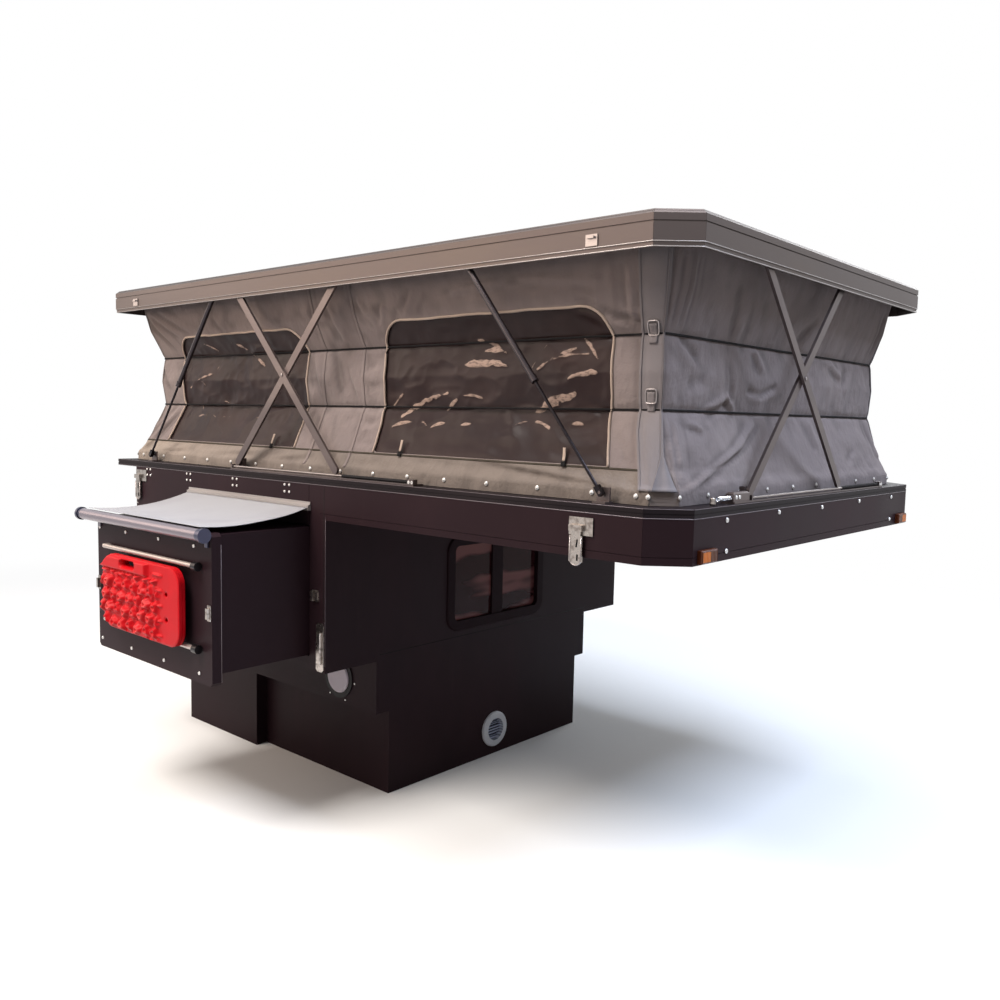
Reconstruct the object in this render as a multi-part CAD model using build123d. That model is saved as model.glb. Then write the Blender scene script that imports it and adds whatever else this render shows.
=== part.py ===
"""Slide-in pop-up truck camper: hard lower box, cabover bed pod, lifting roof on four scissor pairs,
folding canvas, a side slide-out box with recovery boards, and a rear entry door.

Frame: millimetres, +X towards the cabover nose, +Y towards the port side, +Z up.
The origin is on the floor's underside, at its middle. Pieces are drawn from the front wall's outer
face, where x = 0, and save() carries them to the origin.
"""
import math
import os

from build123d import *

os.makedirs("parts", exist_ok=True)

# ---------------------------------------------------------------- driving dimensions
HALF_W = 950.0            # half width over wings, rail and roof
NOSE_X = 1476.0           # front face of the cabover rail and roof
NOSE_CUT_X = 105.0        # front corner chamfer along X
NOSE_CUT_Y = 90.0         # front corner chamfer along Y

BODY_L = 1425.0           # lower body, front wall to rear wall
TAIL_OVERHANG = 177.0     # rail and roof beyond the rear wall
BOX_HALF_W = 623.0        # lowest box, between the wheel arches
BOX_TOP = 345.0           # top of the lowest box
NECK_STEP = 69.0          # neck above it beyond the lowest box, between the bed's side walls
WING_Z = 562.0            # underside of the wings, above the bed's side walls
POD_Z = 1142.0            # underside of the cabover pod
RAIL_Z = 1269.0           # underside of the base rail
RAIL_H = 29.0             # base rail height
RAIL_W = 75.0             # base rail width, the ledge round the canvas

WALL = 25.0               # composite wall panel
FLOOR_T = 30.0            # floor panel
DECK_T = 24.0             # panel of the rear overhang
END_WALL = 28.0           # front and rear wall panel
LAP = 4.0                 # the front wall's upper sheet in front of its lower one
POD_WALL = 22.0           # cabover pod panel
POD_EASE = 1.5            # eased lower edge of the pod walls
SEAM = 2.0                # width and depth of the seams in the wing walls
JOINT = 0.3               # hairline joint between neighbouring panels
RUN = 5.0                 # running clearance between moving assemblies

BOLT_SPAN_X = 1000.0      # bed bolts, along and across
BOLT_SPAN_Y = 900.0
BOLT_R = 6.5

BLOCK_L = 574.0           # rear side box, from the rear wall to the wheel arch
BLOCK_W = 56.0            # how far the rear side boxes stand out of the lowest box

# roof and its lift
ROOF_GAP = 693.0          # between rail and roof rim, roof up
LIP_H = 15.0              # lip under the rim's skirt
SKIRT_H = 54.0            # skirt, up to the groove
HEAD_H = 31.0             # from the groove to the top of the roof
ROOF_T = 35.0             # roof panel
RIM_T = 6.0               # rim skirt thickness
GROOVE = 4.0              # rim groove height and depth
ROOF_BEVEL = 12.0         # bevel round the top
CHANNEL_W = 44.0          # rim channel that the arms fold into
RIM_TOP_T = 5.0           # rim's top flange

PIVOT_UP = 32.0           # lower pivots above the ledge
HEAD_PIVOT_UP = 41.0      # upper pivots above the rim's lip
ARM_SPAN = 650.0          # distance between an arm pair's feet, roof up
ARM_W = 30.0              # arm bar height
ARM_T = 10.0              # arm bar thickness
OUTER_IN = 12.0           # outer arm's outer face, in from the rail's edge
ARM_DRIFT = 36.0          # room over the arms' upper ends, which rise in mid travel
ARM_GAP = 2.0             # between the two arms of a pair
PIN_R = 5.0               # pivot pins
PIN_CLEAR = 0.08          # radial clearance of a pin in its bore
SIDE_FOOT_X = -615.0      # fixed feet of the side pairs
END_FOOT_Y = -480.0       # fixed feet of the front and rear pairs

# canvas
CANVAS_T = 5.0
CANVAS_FOOT = 75.0        # inset of the canvas at the rail
CANVAS_WAIST = 150.0      # inset at the two elastic cords
CANVAS_BELLY = 140.0      # inset between the cords
CANVAS_HEAD = 78.0        # inset at the roof
CANVAS_BAND = 60.0        # upright band at the canvas foot and head
CORD_LOW_UP = 267.0       # elastic cords above the ledge
CORD_HIGH_UP = 482.0
STRIP_T = 4.0             # upright strip that the canvas foot snaps to
STRIP_H = 37.0

# slide-out
SLIDE_X0 = -905.0         # box, rear side
SLIDE_X1 = -100.0         # box, front side
SLIDE_Z0 = 617.0
SLIDE_Z1 = 1110.0
SLIDE_OUT = 382.0         # how far the box stands out of the wing wall
SLIDE_WALL = 12.0
SLIDE_TAIL = 60.0         # box left inside the wing when it is out
FASCIA_T = 38.0
FASCIA_SIDE = 18.0        # fascia beyond the box at its sides
FASCIA_BELOW = 37.0
FASCIA_ABOVE = 7.0

# rear door
DOOR_W = 560.0
DOOR_Z0 = 70.0
DOOR_Z1 = 1240.0
DOOR_T = 26.0

# sizes that follow from them
TAIL_X = -BODY_L - TAIL_OVERHANG     # rear face of the rail and roof
NECK_HALF_W = BOX_HALF_W + NECK_STEP
BLOCK_HALF_W = BOX_HALF_W + BLOCK_W
LEDGE_Z = RAIL_Z + RAIL_H            # top of the rail
ROOF_LIP_Z = LEDGE_Z + ROOF_GAP
ROOF_SKIRT_Z = ROOF_LIP_Z + LIP_H
ROOF_GROOVE_Z = ROOF_SKIRT_Z + SKIRT_H
ROOF_TOP_Z = ROOF_GROOVE_Z + HEAD_H
CEILING_Z = ROOF_TOP_Z - ROOF_T
PIVOT_Z = LEDGE_Z + PIVOT_UP
PIVOT_RISE = ROOF_LIP_Z + HEAD_PIVOT_UP - PIVOT_Z
CORD_LOW_Z = LEDGE_Z + CORD_LOW_UP
CORD_HIGH_Z = LEDGE_Z + CORD_HIGH_UP
ARM_L = math.hypot(ARM_SPAN, PIVOT_RISE)
ARM_ANGLE = math.degrees(math.atan2(PIVOT_RISE, ARM_SPAN))


# ---------------------------------------------------------------- helpers
def save(node, *solids):
    """Write one node, made of one or more separate solids."""
    flat = []
    for piece in solids:
        flat += list((Pos(BODY_L / 2, 0, 0) * piece).solids())
    shape = flat[0] if len(flat) == 1 else Compound(children=flat)
    shape.label = node
    export_step(shape, f"parts/{node}.step")


def block(x0, x1, y0, y1, z0, z1):
    """Box between two corners."""
    return Pos((x0 + x1) / 2, (y0 + y1) / 2, (z0 + z1) / 2) * Box(abs(x1 - x0), abs(y1 - y0), abs(z1 - z0))


def rod(p, q, radius):
    """Round bar between two points."""
    a = Vector(*p)
    b = Vector(*q)
    run = b - a
    return Plane(origin=a, z_dir=run) * Cylinder(radius, run.length, align=(Align.CENTER, Align.CENTER, Align.MIN))


def mirror_y(shape):
    """The same piece on the other side of the vehicle."""
    return mirror(shape, about=Plane.XZ)


def plan(inset=0.0):
    """Corner points of the roof and rail outline, moved in by inset."""
    cut = math.hypot(NOSE_CUT_X, NOSE_CUT_Y)
    nx = NOSE_X - inset
    hw = HALF_W - inset
    # the chamfer line moves in by the same distance, so its ends slide along the two straight sides
    shift_x = inset * (cut - NOSE_CUT_X) / NOSE_CUT_Y
    shift_y = inset * (cut - NOSE_CUT_Y) / NOSE_CUT_X
    corner_x = NOSE_X - NOSE_CUT_X - shift_x
    corner_y = HALF_W - NOSE_CUT_Y - shift_y
    tx = TAIL_X + inset
    return [(tx, -hw), (corner_x, -hw), (nx, -corner_y), (nx, corner_y), (corner_x, hw), (tx, hw)]


def plan_face(inset, z):
    """Horizontal face with that outline."""
    return Pos(0, 0, z) * make_face(Polyline(*plan(inset), close=True))


def slab(inset, z0, z1):
    """Plate with that outline."""
    return extrude(plan_face(inset, z0), z1 - z0)


def mitred(ring, reach, z0, z1):
    """Cut a ring into its straight lengths by hairline mitres, as sawn profiles meet."""
    outer = plan(-5.0)
    inner = plan(reach + 5.0)
    for (ax, ay), (bx, by) in zip(outer, inner):
        length = math.hypot(bx - ax, by - ay)
        turn = math.degrees(math.atan2(by - ay, bx - ax))
        saw = Box(length, 2 * JOINT, z1 - z0 + 2)
        ring -= Pos((ax + bx) / 2, (ay + by) / 2, (z0 + z1) / 2) * Rot(0, 0, turn) * saw
    return ring


# ---------------------------------------------------------------- lower body
def floor_panel():
    """Floor with the four holes that bolt it to a pick-up bed."""
    floor = block(-BODY_L + END_WALL + JOINT, -END_WALL - JOINT, -BOX_HALF_W, BOX_HALF_W, 0, FLOOR_T)
    for x in (-1, 1):
        for y in (-1, 1):
            place = (-BODY_L / 2 + x * BOLT_SPAN_X / 2, y * BOLT_SPAN_Y / 2)
            floor -= rod((*place, -5), (*place, FLOOR_T + 5), BOLT_R)
    return floor


def side_shell():
    """Folded side panel: lowest wall, step, neck wall and the wing's underside, as one section."""
    y0 = BOX_HALF_W
    y1 = NECK_HALF_W
    points = [
        (y0, FLOOR_T + JOINT),
        (y0, BOX_TOP),
        (y1, BOX_TOP),
        (y1, WING_Z),
        (HALF_W, WING_Z),
        (HALF_W, WING_Z + WALL),
        (y1 - WALL, WING_Z + WALL),
        (y1 - WALL, BOX_TOP + WALL),
        (y0 - WALL, BOX_TOP + WALL),
        (y0 - WALL, FLOOR_T + JOINT),
    ]
    length = BODY_L - 2 * END_WALL - 2 * JOINT
    section = make_face(Polyline(*points, close=True))
    # the section's first axis is Y and its second is Z
    place = Plane(origin=(-END_WALL - JOINT, 0, 0), x_dir=(0, 1, 0), z_dir=(1, 0, 0))
    return extrude(place * section, -length)


FILLER_X = -236.0         # filler cover on the neck
FILLER_Z = 453.0
FILLER_R = 64.0           # the cover
FILLER_RIM = 23.0         # its flange beyond the cover


def side_shells():
    return [mirror_y(side_shell()), side_shell()]


def rear_side_boxes():
    """Closed boxes behind the wheel arches."""
    one = block(-BODY_L, -BODY_L + BLOCK_L, BOX_HALF_W + JOINT, BLOCK_HALF_W, 0, BOX_TOP - JOINT)
    return [mirror_y(one), one]


def wing_wall():
    """Upright wing panel, with the seams of its front post."""
    wall = block(-BODY_L + END_WALL + JOINT, -END_WALL - JOINT, HALF_W - WALL, HALF_W,
                 WING_Z + WALL + JOINT, RAIL_Z - JOINT)
    x = SLIDE_X1
    wall -= block(x - SEAM / 2, x + SEAM / 2, HALF_W - SEAM, HALF_W + 5, SLIDE_Z1 + 2 * RUN, RAIL_Z)
    return wall


def wing_walls():
    hole = block(SLIDE_X0 - RUN, SLIDE_X1 + RUN, -HALF_W - 10, -HALF_W + WALL + 10, SLIDE_Z0 - RUN, SLIDE_Z1 + RUN)
    return [mirror_y(wing_wall()) - hole, wing_wall()]


def body_section(top):
    """Outline of the body seen from the front, with the wings, the neck and the lowest box."""
    box = BOX_HALF_W
    neck = NECK_HALF_W
    right = [(box, 0), (box, BOX_TOP), (neck, BOX_TOP), (neck, WING_Z), (HALF_W, WING_Z), (HALF_W, top - JOINT)]
    left = [(-y, z) for y, z in reversed(right)]
    return make_face(Polyline(*right, *left, close=True))


WIN_Y = 16.0              # front window, seen from the front
WIN_Z = 820.0
WIN_W = 610.0
WIN_H = 380.0
WIN_R = 50.0
WIN_FLANGE = 17.0         # window frame beyond its hole
WIN_FACE = 26.0           # sight edge of the frame inside the hole
MULLION_W = 70.0          # the two sliding panes' stiles, overlapped
VENT_Y = 18.0
VENT_Z = 116.0
VENT_R = 80.0             # outer edge of the vent's ring
VENT_BORE_R = 62.0        # hole in the wall
VENT_MOUTH_R = 50.0       # open middle of the ring


def front_wall():
    place = Plane(origin=(0, 0, 0), x_dir=(0, 1, 0), z_dir=(1, 0, 0))
    wall = extrude(place * body_section(POD_Z), -END_WALL)
    window = Plane(origin=(5, WIN_Y, WIN_Z), x_dir=(0, 1, 0), z_dir=(1, 0, 0)) * RectangleRounded(WIN_W, WIN_H, WIN_R)
    wall -= extrude(window, -END_WALL - 10)
    wall -= rod((-END_WALL - 5, VENT_Y, VENT_Z), (5, VENT_Y, VENT_Z), VENT_BORE_R)
    # the lower sheet is set back, so the upper one laps over it at the height of the wings
    wall -= block(-LAP, 5, -HALF_W, HALF_W, -5, WING_Z)
    return wall


def rear_wall():
    place = Plane(origin=(-BODY_L + END_WALL, 0, 0), x_dir=(0, 1, 0), z_dir=(1, 0, 0))
    wall = extrude(place * body_section(RAIL_Z), -END_WALL)
    half = DOOR_W / 2 - DOOR_LAP
    wall -= block(-BODY_L - 10, -BODY_L + END_WALL + 10, -half, half, DOOR_Z0 + DOOR_LAP, DOOR_Z1 - DOOR_LAP)
    return wall


def window_plane(x):
    """Plane across the front window at a depth, with Y and Z as its axes."""
    return Plane(origin=(x, WIN_Y, WIN_Z), x_dir=(0, 1, 0), z_dir=(1, 0, 0))


def window_frame():
    """Frame of the sliding window: flange over the wall, sleeve through it, and the middle stiles."""
    sleeve_x = -END_WALL + LAP
    fit = 2 * JOINT
    sleeve = extrude(window_plane(sleeve_x) * RectangleRounded(WIN_W - fit, WIN_H - fit, WIN_R - JOINT),
                     -sleeve_x + JOINT)
    rim = 2 * WIN_FLANGE
    flange = extrude(window_plane(JOINT) * RectangleRounded(WIN_W + rim, WIN_H + rim, WIN_R + WIN_FLANGE), 8)
    flange = chamfer(flange.faces().sort_by(Axis.X)[-1].edges(), 4)
    face = 2 * WIN_FACE
    bore = extrude(window_plane(-60) * RectangleRounded(WIN_W - face, WIN_H - face, WIN_R - WIN_FACE), 90)
    half = WIN_H / 2 - WIN_FACE + 3
    stiles = block(-8, 2, WIN_Y - MULLION_W / 2, WIN_Y + MULLION_W / 2, WIN_Z - half, WIN_Z + half)
    return sleeve + flange - bore + stiles


def window_panes():
    """The two sliding panes, one behind the other in their tracks."""
    half_w = WIN_W / 2 - WIN_FACE - JOINT
    half_h = WIN_H / 2 - WIN_FACE - JOINT
    panes = []
    for side, x in ((-1, -8.0 - JOINT), (1, -13.0 - JOINT)):
        near = WIN_Y - side * MULLION_W / 4
        pane = block(x - 4, x, near, WIN_Y + side * half_w, WIN_Z - half_h, WIN_Z + half_h)
        corner = [e for e in pane.edges().filter_by(Axis.X) if (e.center().Y - WIN_Y) * side > half_w - 5]
        panes.append(fillet(corner, WIN_R - WIN_FACE))
    return panes


VENT_SLOTS = 5
VENT_PITCH = 15.0
VENT_DISC_T = 6.0         # slotted disc at the bottom of the ring's mouth


def vent():
    """Round outlet in the lower front wall, on the lower sheet: ring, recessed disc and its slots."""
    x = -LAP
    ring = rod((x + JOINT, VENT_Y, VENT_Z), (x + 13, VENT_Y, VENT_Z), VENT_R)
    ring = chamfer(ring.faces().sort_by(Axis.X)[-1].edges(), 5)
    ring += rod((x - 12, VENT_Y, VENT_Z), (x + 5, VENT_Y, VENT_Z), VENT_BORE_R - 0.4)
    ring -= rod((x - 12 + VENT_DISC_T, VENT_Y, VENT_Z), (x + 20, VENT_Y, VENT_Z), VENT_MOUTH_R)
    for i in range(VENT_SLOTS):
        rise = (i - (VENT_SLOTS - 1) / 2) * VENT_PITCH
        half = math.sqrt((VENT_MOUTH_R - 6) ** 2 - rise ** 2)
        ring -= Pos(x - 12, VENT_Y, VENT_Z + rise) * Box(3 * VENT_DISC_T, 2 * half, VENT_PITCH / 3)
    return ring


def filler_hatch():
    """Water filler on the neck: round flange, with its hinged cover in front."""
    y = -NECK_HALF_W
    flange = rod((FILLER_X, y - JOINT, FILLER_Z), (FILLER_X, y - 5, FILLER_Z), FILLER_R + FILLER_RIM)
    cover = rod((FILLER_X, y - 5 - JOINT, FILLER_Z), (FILLER_X, y - 12, FILLER_Z), FILLER_R)
    return [flange, chamfer(cover.faces().sort_by(Axis.Y)[0].edges(), 3)]


# ---------------------------------------------------------------- cabover pod, rail and ledge
def pod_outline(inset):
    """Pod plan: from above the front wall to the nose, with the chamfered corners."""
    points = plan(inset)
    return [(-END_WALL, -HALF_W + inset)] + points[1:5] + [(-END_WALL, HALF_W - inset)]


def cabover_floor():
    face = make_face(Polyline(*pod_outline(0.0), close=True))
    return extrude(Pos(0, 0, POD_Z) * face, POD_WALL)


def cabover_walls():
    """Upright walls of the pod, open to the body behind."""
    outer = make_face(Polyline(*pod_outline(0.0), close=True))
    inner_points = pod_outline(POD_WALL)
    inner_points[0] = (-100, inner_points[0][1])
    inner_points[-1] = (-100, inner_points[-1][1])
    inner = make_face(Polyline(*inner_points, close=True))
    z0 = POD_Z + POD_WALL + JOINT
    shell = extrude(Pos(0, 0, z0) * outer, RAIL_Z - JOINT - z0)
    shell = chamfer(shell.faces().sort_by(Axis.Z)[0].edges(), POD_EASE)
    walls = shell - extrude(Pos(0, 0, z0 - 5) * inner, RAIL_Z - z0 + 10)
    return mitred(walls, POD_WALL, z0 - 5, RAIL_Z + 5)


def base_rail():
    """Mitred aluminium profile round the top of the body; its top is the canvas ledge."""
    z0 = RAIL_Z
    z1 = RAIL_Z + RAIL_H
    ring = slab(0, z0, z1) - slab(RAIL_W, z0 - 5, z1 + 5)
    ring -= slab(-5, z0 + 12, z0 + 16) - slab(1.5, z0 + 11, z0 + 17)
    return mitred(ring, RAIL_W, z0, z1)


def tail_deck():
    """Panel that closes the overhang behind the rear wall."""
    return block(TAIL_X + RAIL_W + JOINT, -BODY_L, -HALF_W + RAIL_W + JOINT, HALF_W - RAIL_W - JOINT, RAIL_Z, RAIL_Z + DECK_T)


def canvas_strip():
    """Upright strip on the rail that the canvas foot snaps to."""
    z0 = LEDGE_Z + JOINT
    inset = CANVAS_FOOT - STRIP_T - JOINT
    ring = slab(inset - 0.2, z0, z0 + STRIP_H) - slab(inset + STRIP_T - 0.2, z0 - 5, z0 + STRIP_H + 5)
    return mitred(ring, CANVAS_FOOT, z0, z0 + STRIP_H)


# ---------------------------------------------------------------- canvas
CANVAS_Z0 = LEDGE_Z + 1.0
CANVAS_Z1 = CEILING_Z - 0.5
CANVAS_PROFILE = [
    (CANVAS_Z0, CANVAS_FOOT),
    (CANVAS_Z0 + CANVAS_BAND, CANVAS_FOOT + 8),
    (CORD_LOW_Z, CANVAS_WAIST),
    ((CORD_LOW_Z + CORD_HIGH_Z) / 2, CANVAS_BELLY),
    (CORD_HIGH_Z, CANVAS_WAIST),
    (CANVAS_Z1 - CANVAS_BAND, CANVAS_HEAD + 6),
    (CANVAS_Z1, CANVAS_HEAD),
]
REAR_LIGHT = (TAIL_X + 337.0, -310.0)     # vinyl windows in the sides, from and to along X
FRONT_LIGHT = (153.0, NOSE_X - 311.0)
LIGHT_UP = 98.0                           # their lower edge above the ledge
LIGHT_H = 472.0
LIGHT_R = 78.0                            # upper corners
LIGHT_LOW_R = 18.0                        # lower corners


def canvas_hull(extra, top=0.0):
    """Waisted tent form, moved in by extra."""
    faces = [plan_face(inset + extra, z + (top if i == len(CANVAS_PROFILE) - 1 else 0))
             for i, (z, inset) in enumerate(CANVAS_PROFILE)]
    if top:
        z, inset = CANVAS_PROFILE[0]
        faces[0] = plan_face(inset + extra, z - top)
    return loft(faces, ruled=True)


def window_prisms(shrink=0.0):
    """Bars across the tent through its window holes."""
    prisms = []
    for x0, x1 in (REAR_LIGHT, FRONT_LIGHT):
        shape = Rectangle(x1 - x0 - 2 * shrink, LIGHT_H - 2 * shrink)
        shape = fillet(shape.vertices().group_by(Axis.Y)[-1], LIGHT_R - shrink)
        shape = fillet(shape.vertices().group_by(Axis.Y)[0], LIGHT_LOW_R - shrink)
        centre = ((x0 + x1) / 2, -HALF_W, LEDGE_Z + LIGHT_UP + LIGHT_H / 2)
        place = Plane(origin=centre, x_dir=(1, 0, 0), z_dir=(0, -1, 0))
        prisms.append(extrude(place * shape, -2 * HALF_W))
    return prisms


def canvas_shell():
    return canvas_hull(0.0) - canvas_hull(CANVAS_T, top=1.0)


def canvas():
    shell = canvas_shell()
    for prism in window_prisms():
        shell -= prism
    return shell


def canvas_windows():
    shell = canvas_hull(1.0) - canvas_hull(CANVAS_T - 1.0, top=1.0)
    panes = []
    for prism in window_prisms(shrink=0.5):
        panes += list((shell & prism).solids())
    return panes


# ---------------------------------------------------------------- scissor pairs
def to_side(shape, name):
    """Carry a pair drawn for the starboard side, with its fixed foot at x = 0, to its own side.

    It is drawn with u along X, the distance in from the rail's edge along +Y, and Z up.
    """
    if name == "stbd":
        return Pos(SIDE_FOOT_X, -HALF_W, 0) * shape
    if name == "port":
        return mirror_y(Pos(SIDE_FOOT_X, -HALF_W, 0) * shape)
    if name == "front":
        return Pos(NOSE_X, END_FOOT_Y, 0) * Rot(0, 0, 90) * shape
    # the rear pair mirrors the front one across the length
    return Pos(TAIL_X, END_FOOT_Y, 0) * mirror(Rot(0, 0, 90) * shape, about=Plane.YZ)


INNER_IN = OUTER_IN + ARM_T + ARM_GAP
SIDES = ("stbd", "port", "front", "rear")


def arm_bar(angle, y0):
    """Rectangular bar with round ends, from the origin at an angle above +X."""
    bar = SlotCenterToCenter(ARM_L, ARM_W)
    place = Plane(origin=(0, y0, 0), x_dir=(1, 0, 0), z_dir=(0, -1, 0))
    centred = extrude(place * (Rot(0, 0, angle) * Pos(ARM_L / 2, 0) * bar), -ARM_T)
    return centred


def inner_arm():
    """From the fixed lower foot up to the roller end under the roof."""
    arm = Pos(0, 0, PIVOT_Z) * arm_bar(ARM_ANGLE, INNER_IN)
    mid = (ARM_SPAN / 2, PIVOT_Z + PIVOT_RISE / 2)
    arm -= rod((mid[0], 0, mid[1]), (mid[0], 60, mid[1]), PIN_R + PIN_CLEAR)
    inner_face = INNER_IN + ARM_T
    arm += rod((0, inner_face - 2, PIVOT_Z), (0, inner_face + 20, PIVOT_Z), PIN_R)
    return arm


def outer_arm():
    """From the sliding lower foot up to the fixed pivot on the roof rim."""
    arm = Pos(ARM_SPAN, 0, PIVOT_Z) * arm_bar(180 - ARM_ANGLE, OUTER_IN)
    mid = (ARM_SPAN / 2, PIVOT_Z + PIVOT_RISE / 2)
    arm += rod((mid[0], OUTER_IN + ARM_T - 2, mid[1]), (mid[0], INNER_IN + ARM_T + 4, mid[1]), PIN_R)
    arm += rod((mid[0], OUTER_IN - 2, mid[1]), (mid[0], OUTER_IN + 2, mid[1]), PIN_R + 3)
    top = PIVOT_Z + PIVOT_RISE
    arm += rod((0, RIM_T + JOINT + 0.3, top), (0, OUTER_IN + 2, top), PIN_R)
    return arm


GUIDE_R = 4.0
GUIDE_Z = PIVOT_Z - ARM_W / 2 - GUIDE_R - JOINT
GUIDE_IN = OUTER_IN + ARM_T / 2
GUIDE_X0 = -16.0                 # rod, from the fixed foot
GUIDE_X1 = ARM_SPAN + 395.0
TRACK_END = GUIDE_X1 + 30.0
TRACK_W = 46.0
TRACK_T = 6.0
DAMPER_X = (-135.0, -35.0)       # block beside the fixed foot of the end pairs
FOOT_IN = INNER_IN + ARM_T + 2.0
FOOT_T = 18.0


def scissor_track(side):
    """Black ledge track with the foot block at one end and the rod bracket at the other."""
    z0 = LEDGE_Z + JOINT
    near_x = DAMPER_X[0] if side in ("front", "rear") else -26.0
    track = block(near_x, TRACK_END, OUTER_IN - 4, OUTER_IN - 4 + TRACK_W, z0, z0 + TRACK_T)
    foot = block(-20, 20, FOOT_IN, FOOT_IN + FOOT_T, z0, PIVOT_Z + 14)
    foot -= rod((0, 0, PIVOT_Z), (0, 80, PIVOT_Z), PIN_R + PIN_CLEAR)
    shape = track + foot
    shape += block(GUIDE_X0 - 8, GUIDE_X0, GUIDE_IN - 8, GUIDE_IN + 8, z0, GUIDE_Z + 9)
    shape += block(GUIDE_X1, TRACK_END, GUIDE_IN - 10, GUIDE_IN + 10, z0, GUIDE_Z + 9)
    if side in ("front", "rear"):
        damper = block(*DAMPER_X, OUTER_IN, OUTER_IN + 26, z0, z0 + 34)
        shape += chamfer(damper.faces().sort_by(Axis.Z)[-1].edges(), 5)
    return shape


def guide_rod():
    """Chromed rod between its two brackets, which the sliding foot runs along."""
    return rod((GUIDE_X0, GUIDE_IN, GUIDE_Z), (GUIDE_X1, GUIDE_IN, GUIDE_Z), GUIDE_R)


GAITER_R = 6.0
GAITER_X0 = ARM_SPAN + 40.0


def gaiter():
    """Rubber sleeve on the free end of the guide rod, squeezed as the foot slides out."""
    sleeve = rod((GAITER_X0, GUIDE_IN, GUIDE_Z), (GUIDE_X1 - 0.4, GUIDE_IN, GUIDE_Z), GAITER_R)
    return sleeve - rod((GAITER_X0 - 5, GUIDE_IN, GUIDE_Z), (TRACK_END, GUIDE_IN, GUIDE_Z), GUIDE_R + 0.4)


def roof_bracket():
    """Slotted pivot plate on the rim for the outer arm's upper pin."""
    z = PIVOT_Z + PIVOT_RISE
    top = z + ARM_DRIFT + PIN_R + 4
    plate = block(-16, 16, RIM_T + JOINT, OUTER_IN - 0.7, z - 18, top)
    slot = rod((0, 0, z), (0, 60, z), PIN_R + 0.4) + rod((0, 0, z + ARM_DRIFT), (0, 60, z + ARM_DRIFT), PIN_R + 0.4)
    slot += block(-PIN_R - 0.4, PIN_R + 0.4, 0, 60, z, z + ARM_DRIFT)
    return plate - slot


# ---------------------------------------------------------------- gas struts
STRUT_IN = 24.0           # strut centre, in from the side
STRUT_SPAN = 555.0        # between the strut's two pivots along X, at rest
STRUT_TUBE_R = 10.0
STRUT_ROD_R = 5.0
FRONT_STRUT_X = NOSE_X - 264.0    # lower pivot of the front struts
REAR_STRUT_X = TAIL_X + 274.0     # lower pivot of the rear struts
TUBE_L = 490.0
STRUT_STUD = 10.6         # outer end of the upper stud, in from the side
END_FIT = 22.0            # end fittings, from the pivot towards the strut's middle
END_BACK = 10.0           # and behind the pivot
END_HALF = 8.0
STRUT_L = math.hypot(STRUT_SPAN, PIVOT_RISE)


def along(direction, distance):
    """Point of a strut's line, from its lower pivot."""
    return (direction * STRUT_SPAN * distance / STRUT_L, 0, PIVOT_RISE * distance / STRUT_L)


def strut_end(direction, near, far):
    """Square plastic end fitting along the strut, between two distances from the lower pivot."""
    ax, _, az = along(direction, near)
    bx, _, bz = along(direction, far)
    turn = math.degrees(math.atan2(az - bz, bx - ax))
    return Pos((ax + bx) / 2, 0, (az + bz) / 2) * Rot(0, turn, 0) * Box(far - near, 2 * END_HALF, 2 * END_HALF)


def strut_rod(direction):
    """Lower part of a strut drawn at the origin: end fitting, rod and the piston inside the tube."""
    shaft = rod(along(direction, END_FIT - 1), along(direction, STRUT_L - TUBE_L + 20), STRUT_ROD_R)
    fitting = strut_end(direction, -END_BACK, END_FIT) - rod((0, -20, 0), (0, 20, 0), PIN_R + PIN_CLEAR)
    return fitting + shaft


def strut_tube(direction):
    """Upper part of a strut: tube, gland and the end fitting with its stud at the roof."""
    mouth = STRUT_L - TUBE_L
    tube = rod(along(direction, mouth), along(direction, STRUT_L - END_FIT), STRUT_TUBE_R)
    tube += rod(along(direction, mouth - 6), along(direction, mouth + 14), STRUT_TUBE_R + 2)
    tube -= rod(along(direction, mouth - 10), along(direction, STRUT_L - END_FIT - 4), STRUT_ROD_R + 0.4)
    tube += strut_end(direction, STRUT_L - END_FIT - 1, STRUT_L + END_BACK)
    stud = rod((0, STRUT_STUD - STRUT_IN, 0), (0, 0, 0), PIN_R)
    return tube + Pos(*along(direction, STRUT_L)) * stud


def strut_head():
    """Plate on the rim beside the strut's upper stud, drawn at the upper pivot."""
    return block(-22, 22, RIM_T + JOINT - STRUT_IN, STRUT_STUD - 0.3 - STRUT_IN, -20, 44)


def strut_foot():
    """Bracket on the ledge with the lower ball stud, drawn at the lower pivot."""
    z0 = LEDGE_Z + JOINT - PIVOT_Z
    plate = block(-22, 22, 14, 20, z0, 14)
    base = block(-22, 22, -8, 34, z0, z0 + 5)
    stud = rod((0, 15, 0), (0, -7, 0), PIN_R)
    return plate + base + stud


def at_strut(shape, foot_x):
    return Pos(foot_x, -HALF_W + STRUT_IN, PIVOT_Z) * shape


STRUTS = {"front": (FRONT_STRUT_X, -1), "rear": (REAR_STRUT_X, 1)}


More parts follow.
